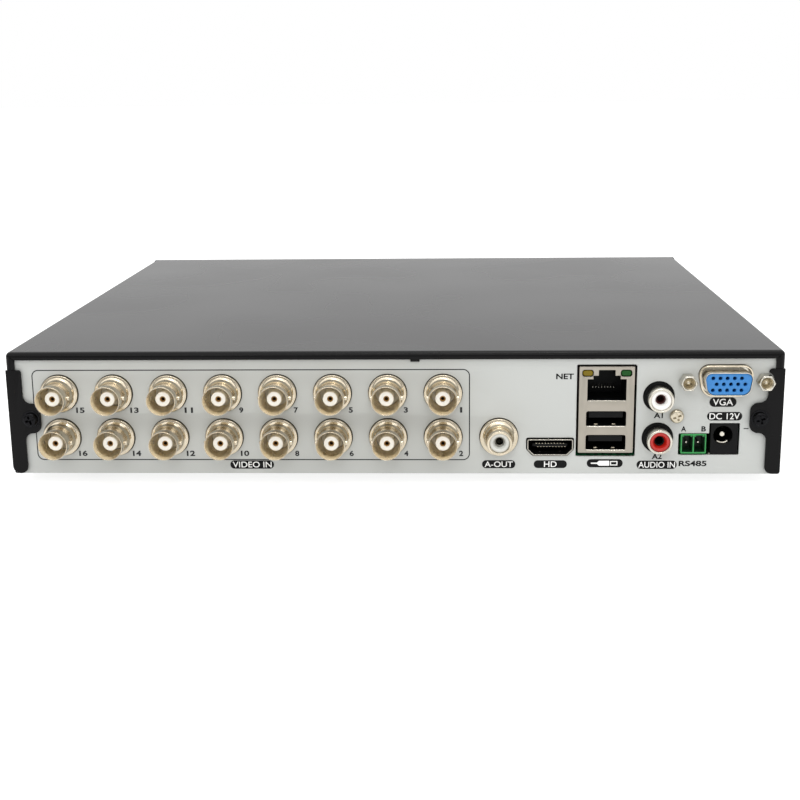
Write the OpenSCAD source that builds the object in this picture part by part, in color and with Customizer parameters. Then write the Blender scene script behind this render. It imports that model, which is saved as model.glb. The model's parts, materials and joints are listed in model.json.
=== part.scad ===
// Video recorder in the small 260 mm case: sheet metal tray and cover, plastic front with keys,
// and a rear panel with sixteen video inputs.
// The front faces -Y, the connectors face +Y and +Z is up. The origin lies on the table,
// under the middle of the whole recorder.

/* [Case] */
// Width over the cover's sides
case_w = 257; // [256:1:266]
// Depth of the metal case, from the plastic front to the rear panel's outer face
case_d = 225.5; // [224:0.5:250]
// Height of the metal case without its feet
case_h = 42; // [42:0.5:48]
// Thickness of the sheet metal
sheet_t = 1; // [0.8:0.1:1.1]
// Height of the rubber feet
foot_h = 3.5; // [2.5:0.5:8]
// Depth of the plastic front
bezel_d = 11; // [11:0.5:14]

/* [Video inputs] */
// Distance between the columns of connectors
bnc_pitch_x = 18.335; // [16:0.005:18.4]
// Distance between the two rows
bnc_pitch_y = 15.06; // [14:0.01:15.5]
// How far a connector stands out of the panel
bnc_len = 11.8; // [11:0.1:13]

/* [Keys] */
// How far a key stands out of the front
key_proud = 0.8; // [0.6:0.1:1.5]
// Gap around a key
key_gap = 0.25; // [0.2:0.05:0.4]

/* [Hidden] */
$fn = 48;
cut = 1; // how far a cutting shape runs past the face that it cuts

// The case in its frame
panel_y = (key_proud + bezel_d + case_d - bnc_len) / 2; // rear panel's outer face
front_y = panel_y - case_d - bezel_d;                   // plastic front's outer face
side_gap = 0.2;                 // between the cover's side and what stands inside it
inner_x = sheet_t + side_gap;   // the tray and panel start this far in from the case's side
inner_top = case_h - sheet_t - side_gap;
lip_h = 13;                     // height of the tray's side lips
return_d = 8;                   // depth of the folded lips that the cover and floor rest on

// The cover's rear flange, seen from behind
flange_t = 0.9;
flange_gap = 0.05;
flange_h = 2.7;                 // strip along the top
corner_w = 3;                   // strip down each upper corner
corner_h = 6;
ear_w = 5.1;                    // ear that runs down each side
ear_bottom = 0.3;
ear_gap = 0.45;                 // the ears stand this far off the panel, the flange less
ear_inner_r = 2.4;              // the ear's lower corners: towards the panel, and outer left and right
ear_outer_r = [4.5, 0.8];
ear_top_r = 1;
lug_reach = 10.7;               // lug that takes the screw
lug_y = 19.4;
lug_h = 10.2;
lug_r = 3.2;
lug_fillet = 2.6;
tab_x = [135, 138];             // small tab under the top strip
tab_h = 0.8;
ear_screw_x = 7.45;
ear_screw_y = 19.2;

// Side vents of the cover
vent_w = 2.2;
vent_h = 18;
vent_pitch = 6;
vent_count = 9;
vent_y = 24;                    // middle of the slots above the case's bottom
vent_groups = [-55, 62];        // middle of each group along Y

// Slots of the floor, under the front of the main board
floor_vent_count = 8;
floor_vent_pitch = 8;
floor_vent_size = [3, 40];
floor_vent_at = [-106.5, -80];

// Screws: [radius, head radius, head height]
m3 = [1.5, 2.7, 1.7];
side_screw_places = [-72, 72];
side_screw_y = 7;
drive_screw = [1.7, 3.2, 1.6];
screw_play = 0.1;               // added to a hole's radius around a shank
m3_bore = 1.6;

// Main board, level with the connectors' feet
board_top = 6.2;
board_t = 1.6;
board_x = [6, 251];
board_z = [-104, -2.6];
standoff_places = [for (x = [12, 128.5, 245], z = [-24, -97]) [x, z]];
foot_screw_x = [30, 98, 160, 214];
processor_at = [108, -62];
processor_w = 30;
decoder_x = [24, 52, 146, 174]; // left sides of the square chips, decoders first
decoder_w = 14;
memory_x = [66, 80, 136, 150];
memory_w = 9;
supply_x = [212, 223, 234];     // tall capacitors of the power supply, and the low ones
supply_z = -60;
filter_x = [36, 64, 160, 188];
filter_z = -88;
coil_x = [214, 228];
battery_at = [34, -70];

// Video connectors
bnc_count = 8;
bnc_first_x = 17.32;
bnc_low_y = 12.73;
bell_r = 6.3;                   // skirt that closes the panel's hole
bell_lip = 1.2;
jack_root = 3;                  // how far a shell reaches behind the panel's outer face
panel_hole_r = 6.5;
bnc_rear_r = 4.6;               // barrel behind the bayonet lugs
bnc_front_r = 4.8;              // barrel in front of them
bnc_front_len = 3.4;
bnc_bore_r = 4.05;
bayonet_r = 1;
bayonet_tip = 5.5;
bayonet_z = 7.3;
pin_hole_r = 0.75;

// Audio sockets
rca_r = 4.15;
rca_root_r = 3.75;              // stacked barrels are thinner where their block holds them
rca_bore_r = 3.3;
rca_plug_r = 1.7;               // hole for the plug's pin
audio_out = [164.2, 12.8];
audio_out_len = 9;
audio_in_x = 216.6;
audio_in_rows = [12.43, 26.43];
audio_in_len = 6.2;
audio_in_hole_r = 5.2;
panel_screw_at = [222.6, 19.9];

// Screen and network sockets
hdmi_x = 181.2;
hdmi_half_w = 7.5;
hdmi_y = [6.6, 9.4, 12.5];      // bottom, knee and top of the socket
hdmi_low_half_w = 5.4;
stack_x = [190.4, 208.5];
stack_y = [7.4, 36.64];
stack_d = 19;
shell_t = 0.4;
net_x = [193.15, 205.85];
net_y = [25.14, 32.42];
net_depth = 13;
latch_x = [[195.05, 203.85], [196.75, 202.15]]; // steps of the latch's notch, wide one first
latch_y = [33.6, 35.5];
usb_x = [192.9, 206.02];
usb_rows = [[8.3, 13.5], [16.4, 21.6]];
usb_depth = 12;
led_y = [33.5, 35.4];
led_yellow_x = [191.55, 194.85];
led_green_x = [204.1, 207.4];
vga_at = [238.05, 31.8];
vga_screw_pitch = 24.99;
vga_len = 6;
vga_ribbon_z = -29;              // ribbon of the screen socket, in the middle of its socket on the board
jackscrew_r = 2.8;
vga_collar = [18.7, 10.6];      // low collar around the shell: width, height and how far it stands out
vga_collar_z = 1.4;
terminal_x = [224.3, 232.6];
terminal_y = [7.1, 13.7];
terminal_pins_x = [226.5, 230.4];
power_x = [234, 243];
power_y = 13.25;                // height of the round power socket
power_cut_y = [6.5, 17.4];      // panel's hole around it, joined to the terminal's hole
power_hole_r = 3.15;

// Keys: [x from the middle, height, width, height of the cap, corner radius], seen from the front
nav_x = 88;
nav_y = 21;
nav_reach = 10.5;
power_key_at = [-112, nav_y, 10, 10, 4.9];
menu_key_at = [60, nav_y, 13, 6, 2.9];
up_key_at = [nav_x, nav_y + nav_reach, 11, 5.4, 2.6];
down_key_at = [nav_x, nav_y - nav_reach, 11, 5.4, 2.6];
left_key_at = [nav_x - nav_reach, nav_y, 5.4, 11, 2.6];
right_key_at = [nav_x + nav_reach, nav_y, 5.4, 11, 2.6];
ok_key_at = [nav_x, nav_y, 10, 10, 4.9];
KEYS = [power_key_at, menu_key_at, up_key_at, down_key_at, left_key_at, right_key_at, ok_key_at];
key_flange = 0.9;               // rim behind the front that keeps a key in
bezel_t = 2.2;
bezel_corner = 3;               // how far the front's corners and top lean in
front_board_z = -8.2;
front_board_t = 1.2;
front_posts = [for (x = [-98, 10, 107], y = [8, 34]) [x, y]];
window_at = [-50, nav_y];
window_size = [90, 14];
window_t = 1.2;
led_places = [-78, -66, -54];
ir_x = -24;

// Hard drive, on its side of the case, with its plugs towards -X
drive_size = [147, 101.6, 26.1];
drive_at = [-34, front_y + bezel_d + sheet_t + 3, sheet_t + 2];
drive_hole_x = [41.28, 85.73];
drive_hole_y = [3.18, 98.43];
drive_plug_x = drive_at[0] - 0.5;
drive_cable_h = 6;
drive_plug = [5, 6.8, 7];       // thickness, height and length of a plug at the board
// Drive's cables: [distance from the drive's front side, way out of the drive, radius, thickness]
data_cable = [64, 5, 8, 2.2];
power_cable = [38, 30, 12, 3];
ribbon_at = [-75, 22];
hook_places = [-100, -30, 40, 110];
hook_rows = [3.4, case_h - 3.8];

// ---- Places -------------------------------------------------------------------------------

// Seen from behind: x right from the case's side, y up from its bottom, z out of the panel
module rear(x = 0, y = 0, z = 0) {
    translate([case_w / 2, panel_y, foot_h]) rotate([90, 0, 180]) translate([x, y, z]) children();
}

// Seen from the front: x right from the middle, y up from the case's bottom, z out of the front
module front(x = 0, y = 0, z = 0) {
    translate([0, front_y, foot_h]) rotate([90, 0, 0]) translate([x, y, z]) children();
}

// ---- Shared shapes --------------------------------------------------------------------------

// Box from its lowest to its highest x, y and z
module block(x, y, z) {
    translate([x[0], y[0], z[0]]) cube([x[1] - x[0], y[1] - y[0], z[1] - z[0]]);
}

module round_rect(w, h, r) {
    square([w - 2 * r, h], center = true);
    square([w, h - 2 * r], center = true);
    for (sx = [-1, 1], sy = [-1, 1]) translate([sx * (w / 2 - r), sy * (h / 2 - r)]) circle(r);
}

// Pan-head cross-recess screw: its head rises from z = 0 and its shank goes down
module screw(size, shank) {
    recess = size[1] * 0.62;
    difference() {
        union() {
            translate([0, 0, -shank]) cylinder(r = size[0], h = shank + 0.1);
            cylinder(r = size[1], h = size[2] * 0.6);
            translate([0, 0, size[2] * 0.6]) cylinder(r1 = size[1], r2 = size[1] * 0.72, h = size[2] * 0.4);
        }
        for (turn = [0, 90]) rotate(turn) {
            translate([-recess, -0.35, size[2] * 0.35]) cube([2 * recess, 0.7, size[2]]);
        }
    }
}

// Turned shell with a bell-shaped skirt at the panel
module bell_shell(barrel_r, bore_r, length) {
    flare = bell_r - barrel_r;
    rotate_extrude() difference() {
        union() {
            translate([bore_r, -jack_root]) square([bell_r - bore_r, jack_root + bell_lip + flare]);
            translate([bore_r, 0]) square([barrel_r - bore_r, length]);
        }
        translate([bell_r, bell_lip + flare]) circle(flare);
    }
}

module tube(outer_r, inner_r, z0, z1) {
    translate([0, 0, z0]) difference() {
        cylinder(r = outer_r, h = z1 - z0);
        translate([0, 0, -cut]) cylinder(r = inner_r, h = z1 - z0 + 2 * cut);
    }
}

// ---- Case -----------------------------------------------------------------------------------

// Floor with its folded side lips, the front wall behind the plastic front, and the drive's pads
module base_tray() {
    front_z = -case_d;
    color("#b9bdb8") difference() {
        rear() {
            block([inner_x, case_w - inner_x], [0, sheet_t], [front_z, -sheet_t]);
            for (x = [inner_x, case_w - inner_x - sheet_t]) {
                block([x, x + sheet_t], [0, lip_h], [front_z, -sheet_t - side_gap]);
            }
            block([inner_x, case_w - inner_x], [0, inner_top], [front_z, front_z + sheet_t]);
            block([inner_x, case_w - inner_x], [inner_top - sheet_t, inner_top],
                  [front_z, front_z + return_d]);
        }
        rear() for (x = [-cut, case_w - 2 * inner_x], z = side_screw_places) {
            translate([x, side_screw_y, z - panel_y]) rotate([0, 90, 0]) {
                cylinder(r = m3_bore, h = 2 * inner_x + cut);
            }
        }
        rear() for (x = foot_screw_x) {
            translate([x, -cut, -return_d / 2 - sheet_t]) rotate([-90, 0, 0]) cylinder(r = m3_bore, h = 3);
        }
        for (x = hook_places, y = hook_rows) front(x, y) {
            block([-4, 4], [-1.2, 1.2], [-bezel_d - 2 * sheet_t, -bezel_d + cut]);
        }
        front(ribbon_at[0], ribbon_at[1]) {
            block([-9, 9], [-2.5, 2.5], [-bezel_d - 2 * sheet_t, -bezel_d + cut]);
        }
        for (i = [0:floor_vent_count - 1]) {
            translate([floor_vent_at[0] + i * floor_vent_pitch, floor_vent_at[1], foot_h - cut]) {
                cube([floor_vent_size[0], floor_vent_size[1], sheet_t + 2 * cut]);
            }
        }
        drive_holes(drive_screw[0] + screw_play);
    }
    color("#b9bdb8") difference() {
        drive_pads();
        drive_holes(drive_screw[0] + screw_play);
    }
}

// Raised pads of the floor, under the drive's four screws
module drive_pads() {
    for (x = drive_hole_x, y = drive_hole_y) {
        translate([drive_at[0] + x, drive_at[1] + y, foot_h + sheet_t / 2]) {
            cylinder(r1 = 6, r2 = 4.8, h = drive_at[2] - sheet_t / 2);
        }
    }
}

module drive_holes(r) {
    for (x = drive_hole_x, y = drive_hole_y) {
        translate([drive_at[0] + x, drive_at[1] + y, foot_h - cut]) {
            cylinder(r = r, h = drive_at[2] + 5 + cut);
        }
    }
}

// Outline of the screen socket, with its lower corners cut off, grown by the given amount
module hdmi_outline(grow) {
    w = hdmi_half_w + grow;
    low = hdmi_low_half_w + grow * 0.6;
    knee = hdmi_y[1] - grow * 0.4;
    translate([hdmi_x, 0]) polygon([
        [-w, hdmi_y[2] + grow], [-w, knee], [-low, hdmi_y[0] - grow],
        [low, hdmi_y[0] - grow], [w, knee], [w, hdmi_y[2] + grow]
    ]);
}

// D-shaped outline with its wide side up: sides lean in by ten degrees, corners cut by c
module d_outline(w, h, c) {
    lean = h * tan(10);
    top = w / 2;
    low = w / 2 - lean;
    translate(vga_at) polygon([
        [-top + c, h / 2], [-top, h / 2 - c], [-low - c * 0.2, -h / 2 + c], [-low + c, -h / 2],
        [low - c, -h / 2], [low + c * 0.2, -h / 2 + c], [top, h / 2 - c], [top - c, h / 2]
    ]);
}

// All the holes of the rear panel, as one flat shape
module panel_cutouts() {
    for (i = [0:bnc_count - 1], row = [0, 1]) translate(bnc_at(i, row)) circle(panel_hole_r);
    translate(audio_out) circle(panel_hole_r);
    for (y = audio_in_rows) translate([audio_in_x, y]) circle(audio_in_hole_r);
    hdmi_outline(0.5);
    translate([stack_x[0] - 0.7, stack_y[0] - 1.4]) {
        square([stack_x[1] - stack_x[0] + 1.5, stack_y[1] - stack_y[0] + 2]);
    }
    translate([terminal_x[0] - 0.8, power_cut_y[0]]) square([10, terminal_y[1] + 0.2 - power_cut_y[0]]);
    translate([power_x[0] - 0.5, power_cut_y[0]]) square([10, power_cut_y[1] - power_cut_y[0]]);
    d_outline(vga_collar[0] + 0.3, vga_collar[1] + 0.3, 2.8);
    for (s = [-1, 1]) translate([vga_at[0] + s * vga_screw_pitch / 2, vga_at[1]]) circle(m3_bore);
    translate(panel_screw_at) circle(m3_bore);
    for (x = [ear_screw_x, case_w - ear_screw_x]) translate([x, ear_screw_y]) circle(m3_bore);
}

// Plate that carries every connector, with folded lips at its foot and top
module rear_panel() {
    color("#c4c7c3") difference() {
        rear() {
            difference() {
                block([inner_x, case_w - inner_x], [0, inner_top], [-sheet_t, 0]);
                translate([0, 0, -sheet_t - cut]) linear_extrude(sheet_t + 2 * cut) panel_cutouts();
            }
            block([inner_x + 3, case_w - inner_x - 3], [sheet_t, 2 * sheet_t],
                  [-sheet_t - return_d, -sheet_t / 2]);
            block([inner_x + 3, case_w - inner_x - 3], [inner_top - sheet_t, inner_top],
                  [-sheet_t - return_d, -sheet_t / 2]);
        }
        rear() for (x = foot_screw_x) {
            translate([x, 0.5, -return_d / 2 - sheet_t]) rotate([-90, 0, 0]) cylinder(r = m3_bore, h = 3);
        }
    }
}

// What is left over between a corner at the origin and the round of radius r that it gets;
// the corner's sides run along +x and +y
module corner_waste(r) {
    difference() {
        translate([-cut, -cut]) square([r + cut, r + cut]);
        translate([r, r]) circle(r);
    }
}

// Ear with its screw lug, drawn for the panel's left side
module ear_outline(outer_r) {
    top = case_h - corner_h;
    difference() {
        union() {
            translate([0, ear_bottom]) square([ear_w, top - ear_bottom]);
            translate([lug_reach / 2, lug_y]) round_rect(lug_reach, lug_h, lug_r);
            for (side = [-1, 1]) translate([ear_w, lug_y + side * lug_h / 2]) difference() {
                translate([-cut, side > 0 ? -0.1 : -lug_fillet]) square([lug_fillet + cut, lug_fillet + 0.1]);
                translate([lug_fillet, side * lug_fillet]) circle(lug_fillet);
            }
        }
        translate([0, ear_bottom]) corner_waste(outer_r);
        translate([ear_w, ear_bottom]) mirror([1, 0]) corner_waste(ear_inner_r);
        translate([ear_w, top]) rotate(180) corner_waste(ear_top_r);
        translate([ear_screw_x, ear_screw_y]) circle(m3_bore);
    }
}

// Strip along the top edge, mitred into a short strip down each side
module flange_outline() {
    low = case_h - corner_h - 1;
    polygon([
        [0, case_h], [0, low], [corner_w, low], [corner_w, case_h - flange_h],
        [case_w - corner_w, case_h - flange_h], [case_w - corner_w, low], [case_w, low], [case_w, case_h]
    ]);
}

// Top and sides in one folded sheet, with a narrow flange over the rear panel's edge
module top_cover() {
    rear_z = flange_gap + flange_t;
    color("#2a2b2d") difference() {
        rear() {
            block([0, case_w], [case_h - sheet_t, case_h], [-case_d, rear_z]);
            for (x = [0, case_w - sheet_t]) block([x, x + sheet_t], [ear_bottom, case_h], [-case_d, 0.5]);
            translate([0, 0, flange_gap]) linear_extrude(flange_t) flange_outline();
            translate([0, 0, ear_gap]) linear_extrude(flange_t) {
                ear_outline(ear_outer_r[0]);
                difference() {
                    translate([case_w, 0]) mirror([1, 0]) ear_outline(ear_outer_r[1]);
                    translate([vga_at[0] + vga_screw_pitch / 2, vga_at[1]]) circle(jackscrew_r + 0.4);
                }
            }
            block(tab_x, [case_h - flange_h - tab_h, case_h - flange_h + 0.2], [flange_gap, rear_z]);
        }
        for (side = [-1, 1], group = vent_groups, i = [0:vent_count - 1]) {
            y = group + (i - (vent_count - 1) / 2) * vent_pitch;
            translate([side * case_w / 2, y, foot_h + vent_y]) rotate([90, 0, 90]) {
                linear_extrude(2 * sheet_t + cut, center = true) {
                    round_rect(vent_w, vent_h, vent_w / 2 - 0.01);
                }
            }
        }
        for (y = side_screw_places) translate([0, y, foot_h + side_screw_y]) rotate([0, 90, 0]) {
            cylinder(r = m3_bore, h = case_w + 2 * cut, center = true);
        }
    }
}

// Two screws in the ears and two in each side
module cover_screws() {
    color("#1b1b1c") {
        for (x = [ear_screw_x, case_w - ear_screw_x]) {
            rear(x, ear_screw_y, ear_gap + flange_t) screw(m3, 5);
        }
        for (side = [-1, 1], y = side_screw_places) {
            translate([side * case_w / 2, y, foot_h + side_screw_y]) rotate([0, side * 90, 0]) screw(m3, 5);
        }
    }
}

module rubber_feet() {
    color("#151515") for (x = [-106, 106], y = [-88, 90]) translate([x, y, 0]) {
        cylinder(r1 = 6.6, r2 = 7.2, h = foot_h);
    }
}

// ---- Plastic front --------------------------------------------------------------------------

// Solid outline of the plastic front, shrunk by the given wall
module bezel_block(wall) {
    w = case_w / 2 - wall;
    lean = bezel_corner;
    intersection() {
        front(0, 0, 0) translate([0, wall, 0]) rotate([-90, 0, 0]) linear_extrude(case_h - 2 * wall) polygon([
            [-w, bezel_d + (wall > 0 ? cut : 0)], [-w, 3], [-w + lean, wall],
            [w - lean, wall], [w, 3], [w, bezel_d + (wall > 0 ? cut : 0)]
        ]);
        front(-case_w, 0, 0) rotate([0, 90, 0]) linear_extrude(2 * case_w) polygon([
            [bezel_d + 2 * cut, wall], [bezel_d + 2 * cut, case_h - wall], [bezel_d - 2, case_h - wall],
            [wall, case_h - lean - wall], [wall, 1.5 + wall], [wall + 1.5, wall]
        ]);
    }
}

module key_outline(key, grow) {
    translate([key[0], key[1]]) round_rect(key[2] + 2 * grow, key[3] + 2 * grow, key[4] + grow);
}

module front_bezel() {
    color("#1d1e20") difference() {
        union() {
            difference() {
                bezel_block(0);
                bezel_block(bezel_t);
            }
            for (p = front_posts) front(p[0], p[1]) {
                block([-2.5, 2.5], [-2.5, 2.5], [front_board_z, -bezel_t + 0.2]);
                translate([0, 0, front_board_z - front_board_t - 0.6]) cylinder(r = 1.2, h = 2.5);
            }
            for (x = hook_places, y = hook_rows) front(x, y) {
                block([-3, 3], [-0.8, 0.8], [-bezel_d - sheet_t - 2.4, -bezel_t + 0.2]);
            }
        }
        front(0, 0, -bezel_t - cut) linear_extrude(bezel_t + 2 * cut) {
            for (key = KEYS) key_outline(key, key_gap);
            for (x = led_places) translate([x, window_at[1]]) circle(1.7);
            translate([ir_x, window_at[1]]) circle(2.7);
        }
        front(window_at[0], window_at[1], -window_t - 0.1) linear_extrude(window_t + cut) {
            round_rect(window_size[0] + 0.2, window_size[1] + 0.2, 3.1);
        }
    }
}

module front_window() {
    color("#3a1014") front(window_at[0], window_at[1], -window_t - 0.1) linear_extrude(window_t) {
        round_rect(window_size[0], window_size[1], 3);
    }
}

module front_board() {
    color("#0f5a33") front() difference() {
        block([-119, 111], [5.4, 36.6], [front_board_z - front_board_t, front_board_z]);
        for (p = front_posts) translate([p[0], p[1], front_board_z - front_board_t - cut]) {
            cylinder(r = 1.3, h = front_board_t + 2 * cut);
        }
    }
}

// One tact switch behind each key; the plunger is drawn pressed, where a key's travel ends
module key_switches() {
    color("#3b3c3e") for (key = KEYS) front(key[0], key[1], front_board_z) {
        block([-3, 3], [-3, 3], [0, 3.5]);
        translate([0, 0, 3.4]) cylinder(r = 1.7, h = 0.85);
    }
}

module indicator_leds() {
    color("#c8e6c0") for (x = led_places) front(x, window_at[1], front_board_z) {
        cylinder(r = 1.5, h = 5.3);
        translate([0, 0, 5.3]) sphere(r = 1.5);
        cylinder(r = 1.9, h = 1);
    }
}

module ir_receiver() {
    color("#1a1a22") front(ir_x, window_at[1], front_board_z) {
        block([-3, 3], [-3.6, 3.6], [0, 3.4]);
        translate([0, 0, 3.4]) sphere(r = 2.4);
    }
}

// Cap that stands out of the front, with a rim behind it
module key_cap(key, tint) {
    color(tint) front() {
        translate([0, 0, -bezel_t - 0.4]) linear_extrude(bezel_t + 0.4 + key_proud) key_outline(key, 0);
        translate([0, 0, -bezel_t - 1.2]) linear_extrude(0.85) key_outline(key, key_flange);
    }
}

// ---- Boards and what stands on them ---------------------------------------------------------

module main_board() {
    color("#14613a") rear() difference() {
        block(board_x, [board_top - board_t, board_top], board_z);
        for (p = standoff_places) {
            translate([p[0], 0, p[1]]) rotate([-90, 0, 0]) cylinder(r = m3_bore, h = 10);
        }
    }
}

module standoffs() {
    height = board_top - board_t - sheet_t;
    color("#c9b36a") for (p = standoff_places) rear(p[0], sheet_t, p[1]) rotate([-90, 0, 0]) difference() {
        cylinder(r = 3.1, h = height, $fn = 6);
        translate([0, 0, -cut]) cylinder(r = m3_bore, h = height + 2 * cut);
    }
}

// The same small screw holds the board on its standoffs and the rear panel on the floor
module inner_screws() {
    color("#c9cacb") {
        for (p = standoff_places) rear(p[0], board_top, p[1]) rotate([-90, 0, 0]) screw(m3, 4.8);
        for (x = foot_screw_x) {
            rear(x, 2 * sheet_t, -return_d / 2 - sheet_t) rotate([-90, 0, 0]) screw(m3, 2 * sheet_t);
        }
    }
}

module heatsink() {
    base = board_top + 2.6;
    color("#9aa0a6") rear(processor_at[0], base, processor_at[1]) {
        block([-20, 20], [0, 2.5], [-20, 20]);
        for (i = [0:9]) block([-20 + i * 4.1, -18.9 + i * 4.1], [2.4, 14], [-20, 20]);
    }
}

// Processor, video decoders, memory, coils and the sockets for the inner cables
module board_parts() {
    color("#202124") rear(0, board_top) {
        translate([processor_at[0] - processor_w / 2, 0, processor_at[1] - processor_w / 2]) {
            cube([processor_w, 2.6, processor_w]);
        }
        for (x = decoder_x) translate([x, 0, -50]) cube([decoder_w, 1.5, decoder_w]);
        for (x = memory_x) translate([x, 0, -78]) cube([memory_w, 1.2, 13]);
        for (x = coil_x) translate([x, 0, -44]) cube([8, 5, 8]);
        block([196, 206], [0, 2.2], [-58, -50]);
        for (cable = [data_cable, power_cable]) {
            x = case_w / 2 - drive_plug_x + cable[1] + cable[2];
            block([x - 6.5, x + 6.5], [0, 9], [board_z[0], board_z[0] + 6.5]);
        }
        block([196.5, 214.5], [0, 7], [-83, -78]);
        block([231, 245], [0, 5], [vga_ribbon_z - 2, vga_ribbon_z + 2]);
    }
}

module capacitors() {
    color("#23305c") for (x = supply_x) rear(x, board_top, supply_z) rotate([-90, 0, 0]) {
        tube(4, 0.8, 0, 11);
    }
    color("#23305c") for (x = filter_x) rear(x, board_top, filter_z) rotate([-90, 0, 0]) {
        tube(3.1, 0.7, 0, 6);
    }
}

module clock_battery() {
    color("#c8cacc") rear(battery_at[0], board_top, battery_at[1]) rotate([-90, 0, 0]) {
        cylinder(r = 10, h = 3);
        translate([0, 0, 2.9]) cylinder(r = 8.6, h = 0.6);
    }
}

// ---- Video inputs ---------------------------------------------------------------------------

// Place of one connector: column 0 is the leftmost seen from behind, row 0 the lower one
function bnc_at(column, row) = [bnc_first_x + column * bnc_pitch_x, bnc_low_y + row * bnc_pitch_y];

module bnc_shell() {
    difference() {
        union() {
            bell_shell(bnc_rear_r, bnc_bore_r, bnc_len);
            tube(bnc_front_r, bnc_bore_r, bnc_len - bnc_front_len, bnc_len);
            translate([0, 0, bayonet_z]) rotate([0, 90, 0]) {
                cylinder(r = bayonet_r, h = 2 * bayonet_tip, center = true);
            }
        }
        cylinder(r = bnc_bore_r, h = bnc_len + cut);
    }
}

module bnc_pair(column) {
    color("#b9ad9a") for (row = [0, 1]) rear(bnc_at(column, row)[0], bnc_at(column, row)[1]) bnc_shell();
}

// Moulded blocks behind the panel: one for each pair of video inputs, one for the audio output
module jack_housings() {
    half_w = 7.4;
    color("#17181a") rear() {
        for (i = [0:bnc_count - 1]) {
            x = bnc_at(i, 0)[0];
            block([x - half_w, x + half_w], [board_top, bnc_at(i, 1)[1] + half_w], [-17, -jack_root]);
        }
        block([audio_out[0] - half_w, audio_out[0] + half_w], [board_top, audio_out[1] + half_w],
              [-15, -jack_root]);
    }
}

module bnc_insulators() {
    color("#ece9e2") for (i = [0:bnc_count - 1], row = [0, 1]) rear(bnc_at(i, row)[0], bnc_at(i, row)[1]) {
        difference() {
            union() {
                translate([0, 0, -jack_root]) cylinder(r = bnc_bore_r - 0.03, h = jack_root + 0.5);
                cylinder(r = 2.45, h = 8.4);
            }
            translate([0, 0, -jack_root - cut]) cylinder(r = pin_hole_r, h = 15);
        }
    }
}

module bnc_contacts() {
    color("#c79a4b") for (i = [0:bnc_count - 1], row = [0, 1]) rear(bnc_at(i, row)[0], bnc_at(i, row)[1]) {
        difference() {
            translate([0, 0, -jack_root]) cylinder(r = pin_hole_r - 0.03, h = jack_root + 8.1);
            translate([0, 0, 2]) cylinder(r = 0.46, h = 10);
        }
    }
}

// ---- Audio ----------------------------------------------------------------------------------

module audio_out_shell() {
    color("#b9ad9a") rear(audio_out[0], audio_out[1]) bell_shell(rca_r, rca_bore_r, audio_out_len);
}

// Insulator of an audio socket, with the hole that the plug's pin goes into
module rca_insulator(front_z) {
    tube(rca_bore_r - 0.03, rca_plug_r, -jack_root + 0.05, front_z);
    tube(rca_plug_r + 0.05, 1, -jack_root + 0.05, -jack_root + 1.5);
}

module audio_out_insulator() {
    color("#d9d8d2") rear(audio_out[0], audio_out[1]) rca_insulator(audio_out_len - 1);
}

// Moulded block of the two stacked audio inputs, with the ear that its screw goes into
module audio_in_housing() {
    color("#141414") rear() difference() {
        union() {
            block([audio_in_x - 5.6, audio_in_x + 5.6], [board_top, audio_in_rows[1] + 6.2],
                  [-14, -sheet_t - 0.05]);
            block([audio_in_x + 5, panel_screw_at[0] + 3], [panel_screw_at[1] - 3, panel_screw_at[1] + 3],
                  [-6, -sheet_t - 0.05]);
            for (y = audio_in_rows) translate([audio_in_x, y, -sheet_t - 0.2]) {
                cylinder(r = audio_in_hole_r - 0.2, h = sheet_t + 0.1);
            }
        }
        for (y = audio_in_rows) translate([audio_in_x, y, -jack_root]) {
            cylinder(r = rca_root_r + 0.05, h = 10);
        }
        translate([panel_screw_at[0], panel_screw_at[1], -10]) cylinder(r = m3_bore, h = 12);
    }
}

// Thinner behind the panel, where the block holds them
module audio_in_barrels() {
    color("#b9ad9a") for (y = audio_in_rows) rear(audio_in_x, y) {
        tube(rca_root_r, rca_bore_r, -jack_root, 0.5);
        tube(rca_r, rca_bore_r, 0.4, audio_in_len);
    }
}

module audio_in_white_ring() {
    color("#e9e6e0") rear(audio_in_x, audio_in_rows[1]) rca_insulator(audio_in_len - 0.6);
}

module audio_in_red_ring() {
    color("#b5222a") rear(audio_in_x, audio_in_rows[0]) rca_insulator(audio_in_len - 0.6);
}

module panel_screw() {
    color("#c9cacb") rear(panel_screw_at[0], panel_screw_at[1]) screw([m3[0], 2.4, 1.6], 6);
}

// ---- Screen, network and USB ----------------------------------------------------------------

module hdmi_shell() {
    color("#b3aca2") rear() {
        difference() {
            translate([0, 0, -10.5]) linear_extrude(11.3) hdmi_outline(0);
            translate([0, 0, -10]) linear_extrude(12) hdmi_outline(-shell_t);
        }
        for (s = [-1, 1], z = [-9.5, -4]) {
            block([hdmi_x + s * 4.5 - 0.8, hdmi_x + s * 4.5 + 0.8], [board_top, hdmi_y[0] + 0.2],
                  [z, z + 1.6]);
        }
    }
}

module hdmi_tongue() {
    color("#111111") rear() {
        block([hdmi_x - 5.8, hdmi_x + 5.8], [9.9, 11], [-9.9, -0.6]);
        block([hdmi_x - 5, hdmi_x + 5], [7.2, 11.9], [-9.98, -8.6]);
    }
}

// Openings in the front of the network and USB stack, as one flat shape
module stack_openings() {
    translate([net_x[0], net_y[0]]) square([net_x[1] - net_x[0], net_y[1] - net_y[0]]);
    for (i = [0, 1]) {
        translate([latch_x[i][0], net_y[1] - 1]) {
            square([latch_x[i][1] - latch_x[i][0], latch_y[i] - net_y[1] + 1]);
        }
    }
    for (row = usb_rows) translate([usb_x[0], row[0]]) square([usb_x[1] - usb_x[0], row[1] - row[0]]);
}

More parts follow.
